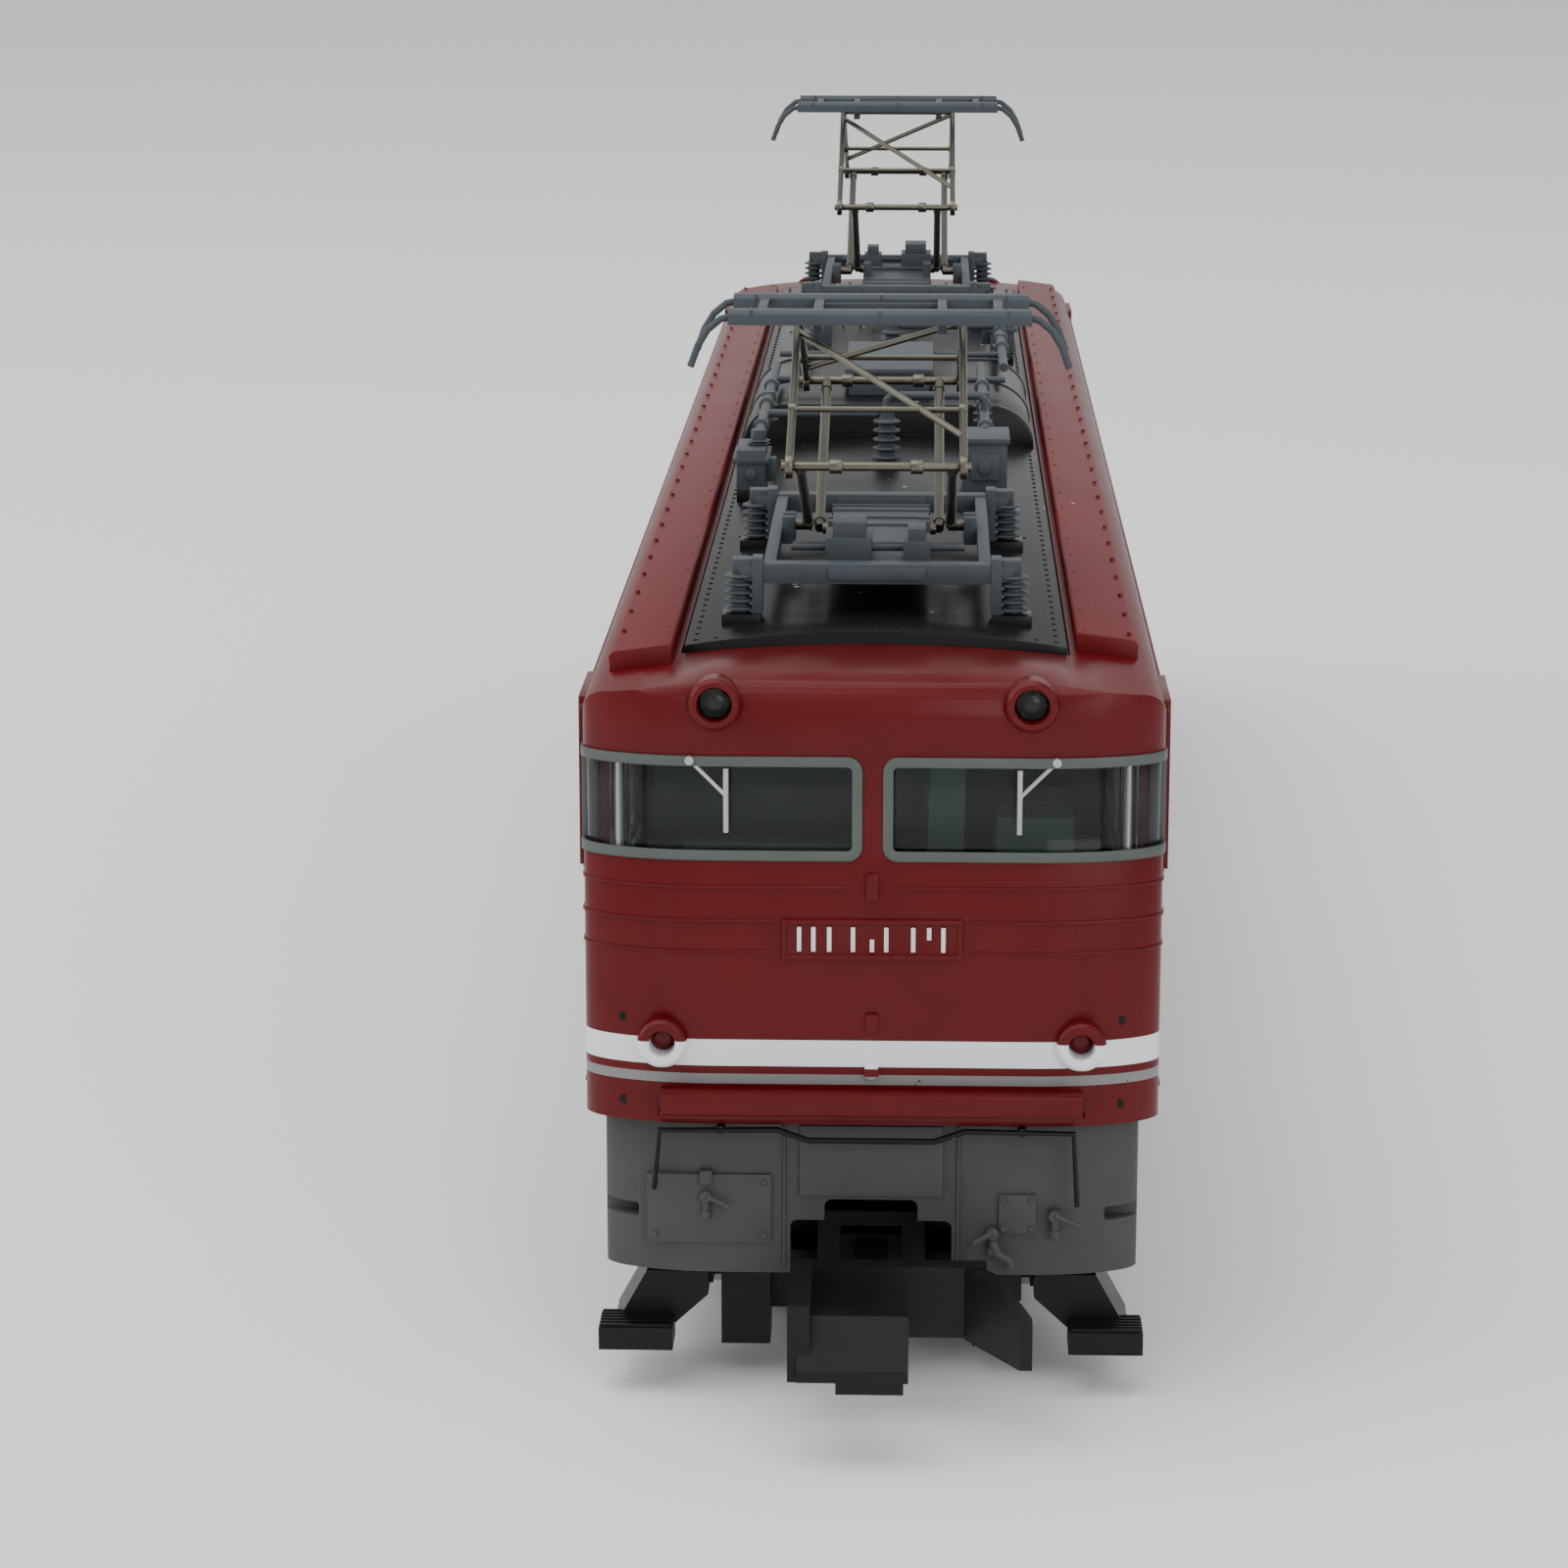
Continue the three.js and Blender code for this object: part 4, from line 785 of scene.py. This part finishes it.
at_both_ends("wipers", together(mirrored(wiper)), "silver", "body_red", bevel=0)
lenses = [
    turned(
        [(r, y - HALF) for r, y in ((0.02, 0.02), (0.3, 0.06), (0.5, 0.22), (0.5, 0.6), (0.02, 0.6))],
        "y",
        (s * 4.95, 23),
        32,
    )
    for s in (-1, 1)
]
at_both_ends("headlight_lenses", together(lenses), "clear", "clear", bevel=0)
# A near-black disc at the back of each headlight bore is painted shade for the dark inside of the lamp.
cups = [rod("y", 0.53, (-HALF + 0.9, -HALF + 1.1), (s * 4.95, 23), 32) for s in (-1, 1)]
at_both_ends("headlight_cups", together(cups), "dark", "black", bevel=0)
tails = [
    turned(
        [(r, y - HALF) for r, y in ((0.02, 0.25), (0.25, 0.29), (0.38, 0.42), (0.38, 0.9), (0.02, 0.9))],
        "y",
        (s * 6.65, 12),
        32,
    )
    for s in (-1, 1)
]
at_both_ends("tail_lenses", together(tails), "tail", "body_red", bevel=0)
# Near-black discs on the cab front are painted shade standing in for handrail socket holes.
socket_hole_shade = [
    rod("y", 0.15, (set_back(7.9) - HALF - 0.02, set_back(7.9) - HALF + 0.2), (s * 7.9, z), 20)
    for s in (-1, 1)
    for z in (9.96, 12.72)
]
at_both_ends("rail_sockets", together(socket_hole_shade), "dark", "black", bevel=0)
bars = []
for x, low, high in (
    (-2.3, 15.05, 15.85), (-1.85, 15.05, 15.85), (-1.35, 15.05, 15.85), (-0.6, 15.05, 15.85),
    (0.0, 15.05, 15.45), (0.45, 15.05, 15.85), (1.3, 15.05, 15.85), (1.8, 15.45, 15.85),
    (2.25, 15.05, 15.85),
):
    bars.append(box((x - 0.07, x + 0.07), (-HALF - 0.14, -HALF - 0.02), (low, high)))
at_both_ends("plate_marks", together(bars), "white", "body_red", bevel=0.02)
print("windows and lamps done")

# %% [markdown]
# ## Roof
# The black panel carries rows of rivets, a hood, and blue-grey switchgear with ribbed insulators.


# %% Roof panel
def panel_z(x):
    return 24.25 - 0.5 * (x / 6.2) ** 2


crown = [(6.2 * s / 10, panel_z(6.2 * s / 10)) for s in range(10, -11, -1)]
panel = prism("y", [(-6.2, 23.2), (6.2, 23.2), *crown], (-49, 49))
hood = [
    (-6, 23.45),
    (6, 23.45),
    *arc((4.1, 23.95), (1.9, 1.6), 0, 90, 12),
    *arc((-4.1, 23.95), (1.9, 1.6), 90, 180, 12),
]
hood = prism("y", hood, (-7.5, 7.5))
hood_bands = [
    prism(
        "y",
        [
            (-6.05, 23.45),
            (6.05, 23.45),
            *arc((4.1, 23.95), (1.95, 1.66), 0, 90, 12),
            *arc((-4.1, 23.95), (1.95, 1.66), 90, 180, 12),
        ],
        (y - 0.2, y + 0.2),
    )
    for y in (-7.2, 0, 7.2)
]
insulator_rows = [end * 39 + row * 7 for end in (-1, 1) for row in (-1, 1)]
feet = [
    box(sorted((s * 3.8, s * 5.1)), (y - 0.6, y + 0.6), (23.75, 24.3))
    for y in insulator_rows
    for s in (-1, 1)
]
seats = [
    box(sorted((s * a, s * b)), sorted((s * c, s * d)), (23.75, 24.3))
    for s in (-1, 1)
    for a, b, c, d in ((-5.7, -4.6, -21.5, -18.5), (3, 4.7, -21.5, -18.5), (-0.6, 0.6, -14.6, -13.4))
]
walkways = [
    box((-1.2, 1.2), (low, high), (24.21, 24.31)) for low, high in ((-31, -23), (23, 31))
]
piece(
    "roof_panel_fine",
    together(panel, hood, hood_bands, feet, seats, walkways),
    "roof_black",
    "chassis",
    "black",
    "roof_panel",
    bevel=0.04,
)
edge_spots = [(s * 5.85, y, panel_z(5.85)) for s in (-1, 1) for y in spaced(-48.4, 48.4, 1.0)]
edge_spots += [(x, y, panel_z(x)) for y in (-48.5, 48.5) for x in spaced(-5.2, 5.2, 0.9)]
edge_spots += [(x, y, panel_z(x)) for y in (-29.5, -9, 9, 29.5) for x in spaced(-5.2, 5.2, 0.9)]
copies("roof_panel_rivets", dome(0.075, 0.05), edge_spots, "roof_black", "chassis", "black")


# %% Roof equipment
def insulator(low, high, centre, radius=0.5, fins=5):
    """A ribbed insulator standing up from low to high."""
    height = high - low
    profile = [(radius * 0.62, low)]
    for i in range(fins):
        base = low + height * (i + 0.12) / fins
        profile += [
            (radius * 0.58, base),
            (radius, base + height * 0.22 / fins),
            (radius, base + height * 0.4 / fins),
            (radius * 0.58, base + height * 0.62 / fins),
        ]
    profile.append((radius * 0.6, high))
    return turned(profile, "z", centre, 28)


def half_roof_set():
    """Switchgear of the front half of the roof."""
    bus, high, y = 26.2, 26.95, -14
    left, right = -4.9, 3.9
    case = [
        box((-5.7, -4.6), (-21.5, -18.5), (24.3, 25.85)),
        box((-5.85, -4.45), (-21.6, -18.4), (25.35, 25.55)),
        box((-4.6, -4.2), (-20.9, -20.3), (24.55, 25.45)),
        box((3, 4.7), (-21.5, -18.5), (24.3, 26.25)),
        box((2.9, 4.8), (-21.6, -18.4), (26.15, 26.35)),
        box((3.3, 4.4), (-21.62, -21.45), (24.75, 25.75)),
        rod("y", 0.24, (-21.75, -21.4), (3.85, 25.25), 24),
        rod("y", 0.2, (-21.75, -21.4), (-5.15, 24.95), 20),
    ]
    posts = [
        insulator(25.85, bus - 0.1, (left, -20), 0.45, 2),
        insulator(24.3, bus - 0.1, (0, y), 0.55, 5),
        insulator(25.15, bus - 0.15, (left, -9.5), 0.4, 3),
        insulator(25.15, bus - 0.15, (right, -9.5), 0.4, 3),
    ]
    pipes = [
        wire([(left, -20.3, bus), (left, 0.2, bus)], 0.2, 14),
        wire([(right, -18.6, bus), (right, 0.2, bus)], 0.2, 14),
        wire(
            [
                (left, y, bus), (-0.5, y, bus), (-0.1, y, bus + 0.12), (0, y, bus + 0.3),
                (0, y, high - 0.2), (0.2, y, high), (right - 0.2, y, high),
                (right, y, high - 0.2), (right, y, bus),
            ],
            0.17,
            14,
        ),
    ]
    collars = [
        rod("y", 0.32, (a, a + 0.4), (x, bus), 20)
        for x in (left, right)
        for a in (-17.8, -11.9, -6.4)
    ]
    cap_spots = ((left, -20), (0, y), (left, -9.5), (right, -9.5))
    caps = [rod("z", 0.3, (bus - 0.15, bus + 0.25), spot, 20) for spot in cap_spots]
    return together(case, posts, pipes, collars, caps)


front_set = half_roof_set()
rear_set = moved(front_set, half_turn, keep=True)
arrester = box((-1.7, 1.7), (-4.4, 4.4), (25.57, 26.55))
lid = box((-1.85, 1.85), (-4.55, 4.55), (26.5, 26.7))
vents = [box((-1.9, 1.9), (y - 0.12, y + 0.12), (25.85, 26.45)) for y in spaced(-3.8, 3.8, 0.55)]
cross = [wire([(-4.9, y, 26.2), (4.9, y, 26.2)], 0.14, 12) for y in (-4, 4)]
piece(
    "roof_equipment_fine",
    together(front_set, rear_set, arrester, lid, vents, cross),
    "slate",
    "chassis",
    "slate",
    "roof_equipment",
    bevel=0.04,
)
print("roof done")

# %% [markdown]
# ## Pantographs
# Both are drawn about their own middle. The rear one is the same drawing turned half round, raised
# a little higher.

# %% Pantograph arms and heads
LOWER, CROSSING, TOP, PIVOT = 11, 0.4, 0.6, 25.95
UPPER = LOWER - (CROSSING + TOP) / math.cos(math.radians(5))


def arm_points(angle, mirror=1):
    a = math.radians(angle)
    reach = LOWER * math.cos(a) - CROSSING
    knee = PIVOT + LOWER * math.sin(a)
    head = knee + math.sqrt(UPPER**2 - (reach - TOP) ** 2)
    return {
        "pivot": (mirror * CROSSING, PIVOT),
        "knee": (-mirror * reach, knee),
        "head": (-mirror * TOP, head),
    }


def lower_arms(p, x, stub):
    arms = [wire([(s * x, *p["pivot"]), (s * x, *p["knee"])], 0.17, 16) for s in (-1, 1)]
    cuffs = []
    for s in (-1, 1):
        for share in (0.04, 0.93):
            y, z = [p["pivot"][i] + (p["knee"][i] - p["pivot"][i]) * share for i in (0, 1)]
            y2, z2 = [p["pivot"][i] + (p["knee"][i] - p["pivot"][i]) * (share + 0.03) for i in (0, 1)]
            cuffs.append(wire([(s * x, y, z), (s * x, y2, z2)], 0.2, 16))
    stubs = [rod("x", 0.2, sorted((s * (x - 0.1), s * stub)), p["pivot"], 24) for s in (-1, 1)]
    knee = rod("x", 0.15, (-3.05, 3.05), p["knee"], 20)
    clamps = [rod("x", 0.24, sorted((s * 1.1, s * 1.5)), p["knee"], 20) for s in (-1, 1)]
    return together(arms, cuffs, stubs, knee, clamps)


def upper_arms(p, brace_side):
    def along(share):
        return [p["knee"][i] + (p["head"][i] - p["knee"][i]) * share for i in (0, 1)]

    eyes = []
    for s in (-1, 1):
        eye = rod("x", 0.4, sorted((s * 2.68, s * 2.92)), p["knee"], 28)
        eyes.append(cut(eye, rod("x", 0.25, (-4, 4), p["knee"], 28)))
    tubes = [wire([(s * 2.8, *along(0.035)), (s * 2.8, *along(1))], 0.13, 16) for s in (-1, 1)]
    cross = wire([(-2.8, *along(0.38)), (2.8, *along(0.38))], 0.11, 12)
    brace = wire([(-2.8 * brace_side, *along(0.93)), (2.8 * brace_side, *along(0.2))], 0.12, 12)
    top = rod("x", 0.15, (-2.9, 2.9), p["head"], 20)
    gussets = [rod("x", 0.22, sorted((s * 2.66, s * 2.94)), along(0.38), 20) for s in (-1, 1)]
    return together(eyes, tubes, cross, brace, top, gussets)


def collector(p):
    z = p["head"][1] + 0.35
    made = []
    for y in (-2.2, 2.2):
        section = [
            (y - 0.4, z - 0.25), (y + 0.4, z - 0.25), (y + 0.4, z + 0.12),
            (y + 0.28, z + 0.25), (y - 0.28, z + 0.25), (y - 0.4, z + 0.12),
        ]
        made.append(prism("x", section, (-5.1, 5.1)))
        for s in (-1, 1):
            horn = ((4.9, 0), (5.35, 0.08), (5.8, 0.45), (6.12, 0.98), (6.38, 1.7))
            made.append(wire([(s * x, y, z - down) for x, down in horn], 0.13, 14))
            made.append(box(sorted((s * 4.3, s * 4.36)), (y - 0.42, y + 0.42), (z + 0.05, z + 0.27)))
        made.append(box((-0.02, 0.02), (y - 0.42, y + 0.42), (z - 0.2, z + 0.265)))
    for x in (-4, -2.1, 2.1, 4):
        made.append(box((x - 0.16, x + 0.16), (-2.1, 2.1), (z - 0.12, z + 0.15)))
    made.append(box((-2.1, 2.1), (-0.95, -0.8), (z - 0.1, z + 0.1)))
    made.append(box((-2.1, 2.1), (0.8, 0.95), (z - 0.1, z + 0.1)))
    for s in (-1, 1):
        lug = box(sorted((s * 1.95, s * 2.25)), (-1.25, 1.25), (p["head"][1] - 0.35, z))
        slot_z = (p["head"][1] - 1, p["head"][1] + 0.2)
        slots = [box(sorted((s * 1, s * 3)), (y - 0.2, y + 0.2), slot_z) for y in (-0.6, 0.6)]
        made.append(cut(lug, *slots))
    return together(made)


def base():
    z0, z1 = 25.35, 25.95
    bars = []
    for y in (-7, 7):
        bow = [
            (-4.4, z0 + 0.05), (-3.4, z0 - 0.05), (3.4, z0 - 0.05), (4.4, z0 + 0.05),
            (4.6, z0 + 0.5), (3.6, z1), (-3.6, z1), (-4.6, z0 + 0.5),
        ]
        bars.append(prism("y", bow, (y - 0.4, y + 0.4)))
        bars.append(box((-1.6, 1.6), (y - 0.5, y + 0.5), (z0 + 0.1, z1 - 0.1)))
    rails = [box(sorted((s * 3.35, s * 3.75)), (-7, 7), (z0 + 0.05, z1 - 0.05)) for s in (-1, 1)]
    stands, fins = [], []
    for y in (-7, 7):
        for s in (-1, 1):
            stands.append(box(sorted((s * 3.75, s * 4.1)), (y - 0.45, y + 0.45), (24.3, z1 + 0.2)))
            stands.append(box(sorted((s * 3.9, s * 4.75)), (y - 0.35, y + 0.35), (z0 + 0.3, z1 + 0.15)))
            fins.append(insulator(24.32, z0 + 0.32, (s * 4.5, y), 0.52, 5))
    springs = [
        box((-1.75, -0.2), (-5.2, -3), (z0, 26.45)),
        box((-1.5, -0.4), (-5.1, -3.1), (26.35, 26.95)),
        box((0.85, 1.75), (-5.2, -3.6), (z0, 26.35)),
        box((1.0, 1.6), (-5.1, -3.7), (26.25, 26.75)),
        wire([(-2.9, -4.4, 26), (2.9, -4.4, 26)], 0.12, 12),
        wire([(-2.9, -2.4, 25.76), (2.9, -2.4, 25.76)], 0.1, 12),
    ]
    lugs = []
    for low, high, y in ((2.9, 3.35, CROSSING), (1.35, 1.75, -CROSSING)):
        for s in (-1, 1):
            x = sorted((s * low, s * high))
            lug = box(x, (y - 0.6, y + 0.6), (PIVOT - 0.6, PIVOT + 0.35))
            slot = box((x[0] - 1, x[1] + 1), (y - 0.25, y + 0.25), (PIVOT - 0.25, PIVOT + 1))
            lugs.append(cut(lug, slot))
    spine = box((-1.7, 1.7), (-7, 7), (z0, z0 + 0.3))
    ribs = [box((-1.75, 1.75), (y - 0.1, y + 0.1), (z0, z0 + 0.36)) for y in (-6, -2, 2, 3.5, 5, 6)]
    return together(bars, rails, stands, fins, springs, lugs, spine, ribs)


for end, sign, angle in (("front", -1, 19.5), ("rear", 1, 22.5)):
    place = Matrix.Translation((0, sign * 39, 0)) @ (half_turn if sign > 0 else Matrix())
    near, far = arm_points(angle), arm_points(angle, -1)
    wire_look = ("bronze", "arm_bronze")
    for name, made, (finish, slot), body, node in (
        ("pantograph_base", base(), ("slate", "slate"), "chassis", "pantograph_base"),
        ("lower_arms_a", lower_arms(near, 2.45, 3.2), wire_look, f"lower_a_{end}", "lower_frame_a"),
        ("lower_arms_b", lower_arms(far, 2.05, 1.45), wire_look, f"lower_b_{end}", "lower_frame_b"),
        ("upper_arms_a", upper_arms(near, 1), wire_look, f"upper_a_{end}", "upper_frame_a"),
        ("upper_arms_b", upper_arms(far, -1), wire_look, f"upper_b_{end}", "upper_frame_b"),
        ("collector", collector(near), ("slate", "slate"), f"head_{end}", "pantograph_head"),
    ):
        piece(f"{name}_fine_{end}", moved(made, place), finish, body, slot, f"{node}_{end}", bevel=0.02)
print("pantographs done")

# %% [markdown]
# ## Skirt and its fittings
# The grey skirt has a central opening for the coupler, inspection panels with bolts, cocks, hoses
# and a black release lever.


# %% Skirt
def skirt():
    ring = cut(prism("z", plan(0.6), (4.1, SILL)), prism("z", plan(1.4), (3, SILL + 1)))
    ring = common(ring, box((-WIDE, WIDE), (-HALF, -50.1), (4.1, SILL)))
    plate = box((-7.4, 7.4), (2.2 - HALF, 3.5 - HALF), (8.8, 9.9))
    lug = box((-6.6, 6.6), (1 - HALF, 2.4 - HALF), (8.8, SILL))
    webs = [box(sorted((s * 6.4, s * 8.3)), (2.6 - HALF, 3.5 - HALF), (8.8, SILL)) for s in (-1, 1)]
    opening = [
        prism("y", rounded((-2.6, 2.6), (2, 5.9), 0.25), (-HALF - 1, 1.6 - HALF)),
        prism("y", rounded((-1.5, 1.5), (2, 6.6), 0.25), (-HALF - 1, 1.6 - HALF)),
    ]
    ring = cut(ring, *opening)
    for s in (-1, 1):
        notch = rounded(sorted((s * 7.5, s * 9.5)), (5.85, 6.3), 0.1)
        step = prism("y", notch, (-HALF - 1, 1.75 - HALF))
        ring = cut(ring, step)
    return together(ring, plate, lug, webs)


at_both_ends("skirt_fine", skirt(), "grey", "skirt_grey", replaces="skirt_{}", bevel=0.06)
face = 0.6 - HALF


def cock(x, z, lean):
    """A valve with a slanting handle on the skirt."""
    body = rod("y", 0.2, (face - 0.4, face + 0.1), (x, z), 20)
    stem = rod("z", 0.13, (z - 0.6, z + 0.15), (x, face - 0.22), 16)
    handle = wire([(x, face - 0.38, z + 0.05), (x + lean, face - 0.42, z - 0.3)], 0.09, 12)
    tip = rod("z", 0.17, (z - 0.75, z - 0.5), (x, face - 0.22), 16)
    return [body, stem, handle, tip]


fittings = [
    box((-7.2, -3.2), (face - 0.14, face + 0.2), (5.15, 7.45)),
    box((4.1, 5.3), (face - 0.14, face + 0.2), (5.55, 6.85)),
    box((2.75, 2.83), (face - 0.1, face + 0.2), (4.3, 9.1)),
    box((-2.83, -2.75), (face - 0.1, face + 0.2), (4.3, 9.1)),
    box((-2.3, 2.3), (face - 0.12, face + 0.2), (6.75, 9.1)),
    cock(-5.3, 6.75, 0.75),
    cock(5.9, 6.2, 0.85),
    cock(3.9, 5.6, -0.6),
    wire(
        [
            (3.9, face - 0.25, 5.3), (4.1, face - 0.35, 4.9),
            (4.45, face - 0.4, 4.75), (4.5, face - 0.35, 4.45),
        ],
        0.15,
        14,
    ),
    box((-5.5, -5.1), (face - 0.3, face + 0.1), (7.15, 7.6)),
]
at_both_ends("skirt_fittings", together(fittings), "grey", "skirt_grey", bevel=0.04)
bolt = turned([(0.1, -0.08), (0.1, 0.04), (0.07, 0.07)], "y", (0, 0), 12)
bolt = moved(bolt, half_turn)
bolt_spots = [(x, face - 0.14, z) for x in (-6.95, -3.45) for z in (5.4, 7.2)]
bolt_spots += [(x, face - 0.14, z) for x in (4.25, 5.15) for z in (5.7, 6.7)]
bolt_rear = moved(bolt, half_turn, keep=True)
copies("skirt_bolts_front", bolt, bolt_spots, "grey", "chassis", "skirt_grey")
rear_spots = [(-x, -y, z) for x, y, z in bolt_spots]
copies("skirt_bolts_rear", bolt_rear, rear_spots, "grey", "chassis", "skirt_grey")
lever_y = -HALF - 0.15
lever = [
    wire(
        [
            (-6.95, lever_y, 7.15), (-6.75, lever_y, 9.12), (-3.0, lever_y, 9.16),
            (-2.0, lever_y - 0.1, 8.85), (2.0, lever_y - 0.1, 8.85), (3.0, lever_y, 9.16),
            (6.45, lever_y, 9.12), (6.6, lever_y, 6.7),
        ],
        0.1,
        12,
    ),
    rod("y", 0.14, (lever_y - 0.05, face + 0.1), (-4.8, 9.14), 16),
    rod("y", 0.14, (lever_y - 0.05, face + 0.1), (4.8, 9.14), 16),
]
at_both_ends("release_lever", together(lever), "black", "black", bevel=0)
print("skirt done")

# %% [markdown]
# ## Running gear
# Wheels are turned again with round treads. The moulded bogies keep their CAD shape with softened
# edges and gain springs, axle box covers and brake shoes.


# %% Wheels
def wheel_pair(y, tread, flange):
    made = []
    for s in (-1, 1):
        profile = [
            (0.02, 3.7), (flange - 0.12, 3.7), (flange, 3.82), (flange - 0.04, 4.05),
            (tread + 0.12, 4.28), (tread, 4.42), (tread, 5.84), (tread - 0.06, 5.9),
            (tread - 0.5, 5.9), (tread - 0.62, 5.55), (1.5, 5.45), (1.2, 5.7), (0.5, 5.75), (0.02, 5.75),
        ]
        made.append(turned([(r, s * x) for r, x in profile], "x", (y, flange), 64))
    made.append(rod("x", 0.75, (-3.75, 3.75), (y, flange), 40))
    return together(made)


for end, sign in (("front", -1), ("rear", 1)):
    for number, row in (("1", -1), ("2", 1)):
        y = sign * 36 + row * 8.35 * -sign
        pair = wheel_pair(y, 3.735, 4.335)
        label = f"{end}_{number}"
        body, node = f"axle_{label}", f"wheelset_{label}"
        piece(f"wheels_{label}", pair, "steel", body, "steel", node, bevel=0)
for number, y in (("1", -6), ("2", 6)):
    pair = wheel_pair(y, 2.87, 3.47)
    body, node = f"trailing_axle_{number}", f"trailing_wheelset_{number}"
    piece(f"wheels_centre_{number}", pair, "steel", body, "steel", node, bevel=0)


# %% Bogie trim
def helix(x, y, low, high, radius=0.42, turns=5):
    steps = 12 * turns
    return wire(
        [
            (
                x + radius * math.cos(2 * math.pi * i / 12),
                y + radius * math.sin(2 * math.pi * i / 12),
                low + (high - low) * i / steps,
            )
            for i in range(steps + 1)
        ],
        0.13,
        8,
    )


def bogie_trim(side):
    made = []
    for axle in (-8.35, 8.35):
        made.append(rod("x", 0.95, sorted((side * 8.0, side * 8.3)), (axle, 4.6), 32))
        made.append(rod("x", 0.6, sorted((side * 8.2, side * 8.42)), (axle, 4.6), 28))
        for dy in (-2.5, 2.5):
            made.append(helix(side * 7.75, axle + dy, 3.9, 6.9, 0.62))
        for dy in (-4.3, 4.3):
            y = axle + dy
            made.append(box(sorted((side * 6.4, side * 7.15)), (y - 0.25, y + 0.25), (3.2, 5.6)))
    made.append(box(sorted((side * 7.25, side * 7.5)), (-11.4, 11.4), (7.0, 7.3)))
    made.append(box(sorted((side * 8.15, side * 8.3)), (-2.2, 2.2), (3.9, 5.3)))
    made.append(box(sorted((side * 1.7, side * 6.25)), (-14.1, -13.3), (3.5, 7.3)))
    made.append(box(sorted((side * 1.7, side * 4.9)), (-15.1, -14), (1.9, 3.9)))
    made.append(box(sorted((0, side * 2.8)), (-14.1, -13.4), (5.85, 7.3)))
    brake_rod = [(7.5, -5.2, 6.2), (7.7, -3.2, 5.6), (7.7, 3.2, 5.6), (7.5, 5.2, 6.2)]
    made.append(wire([(side * x, y, z) for x, y, z in brake_rod], 0.14, 12))
    return made


for end, sign in (("front", -1), ("rear", 1)):
    place = Matrix.Translation((0, sign * 36, 0)) @ (half_turn if sign > 0 else Matrix())
    trim = moved(together(mirrored(bogie_trim)), place)
    piece(f"bogie_trim_{end}", trim, "black", f"bogie_{end}", "black", bevel=0.03)
treads = [
    box(sorted((s * 6.45, s * 8.75)), (y - 0.06, y + 0.06), (2.2, 2.35))
    for s in (-1, 1)
    for y in spaced(-54.05, -52.75, 0.26)
]
tread_rear = [moved(one, half_turn, keep=True) for one in treads]
piece("step_treads_front", together(treads), "black", "bogie_front", "black", bevel=0)
piece("step_treads_rear", together(tread_rear), "black", "bogie_rear", "black", bevel=0)
print("running gear done")

# %% [markdown]
# ## CAD pieces that show as they are
# Each takes a finish and softened edges. Their shapes stay as packed.

# %% Finishes for the CAD pieces
finish_of = {
    "black": "black",
    "zinc": "zinc",
    "steel": "steel",
    "brass": "brass",
    "nylon": "nylon",
    "cab_green": "green",
    "board": "board",
    "clear": "clear",
    "slate": "slate",
    "skirt_grey": "grey",
    "body_red": "red",
    "arm_bronze": "bronze",
}
slot_of = {part["node"]: part["material_slot"] for part in frame["record"]["subparts"]}
edge_width = {"coupler": 0.08, "bogie_frame": 0.08, "underframe_cover": 0.1, "gearbox": 0.06}
for name, node in frame["nodes"].items():
    node.data.materials.clear()
    node.data.materials.append(look[finish_of[slot_of[name]]])
    edge = node.modifiers.new("soft edges", "BEVEL")
    width = next((w for key, w in edge_width.items() if name.startswith(key)), 0.03)
    edge.width, edge.segments, edge.limit_method = width * MM, 2, "ANGLE"
    edge.angle_limit = math.radians(38)
    edge.use_clamp_overlap = True
print("CAD finishes set")

# %% [markdown]
# ## Studio
# A pale floor, one large soft lamp above, a front fill and a long lens at eye level with the roof.

# %% Floor, lamps and camera
floor = solid([(-3, -3, 0), (3, -3, 0), (3, 6, 0), (-3, 6, 0)], [(0, 1, 2, 3)], "floor")
paper = Shader("pale paper")
paper.set(Base_Color=paper.blend(paper.noise(0.01), (0.84, 0.84, 0.84), (0.87, 0.87, 0.87)))
paper.set(Roughness=0.9 + paper.noise(0.05) * 0.05)
floor.data.materials.append(paper.material)

world = bpy.data.worlds.new("studio")
bpy.context.scene.world = world
world.use_nodes = True
world.node_tree.nodes["Background"].inputs["Color"].default_value = (1, 1, 1, 1)
world.node_tree.nodes["Background"].inputs["Strength"].default_value = 0.8


def lamp(name, place, target, size, power):
    data = bpy.data.lights.new(name, "AREA")
    data.size, data.energy = size, power
    shown = bpy.data.objects.new(name, data)
    shown.location = place
    shown.rotation_euler = (Vector(target) - Vector(place)).to_track_quat("-Z", "Y").to_euler()
    bpy.context.scene.collection.objects.link(shown)


lamp("overhead", (-0.1, -0.1, 0.5), (0, -0.02, 0.02), 0.5, 1.9)
lamp("front", (0.25, -0.5, 0.22), (0, -0.04, 0.015), 0.3, 0.8)
lamp("side", (-0.5, -0.1, 0.25), (0, 0, 0.015), 0.3, 0.8)

camera = bpy.data.cameras.new("camera")
camera.sensor_width = 36
camera.lens = 99.5
camera.clip_start = 0.001
camera.dof.use_dof = False
eye = bpy.data.objects.new("camera", camera)
eye.location = (1.6 * MM, -186.5 * MM, 51.5 * MM)
eye.rotation_euler = (math.radians(90 - 13.23), 0, math.radians(1.9))
bpy.context.scene.collection.objects.link(eye)
bpy.context.scene.camera = eye
bpy.context.scene.render.resolution_x = 1600
bpy.context.scene.render.resolution_y = 1600
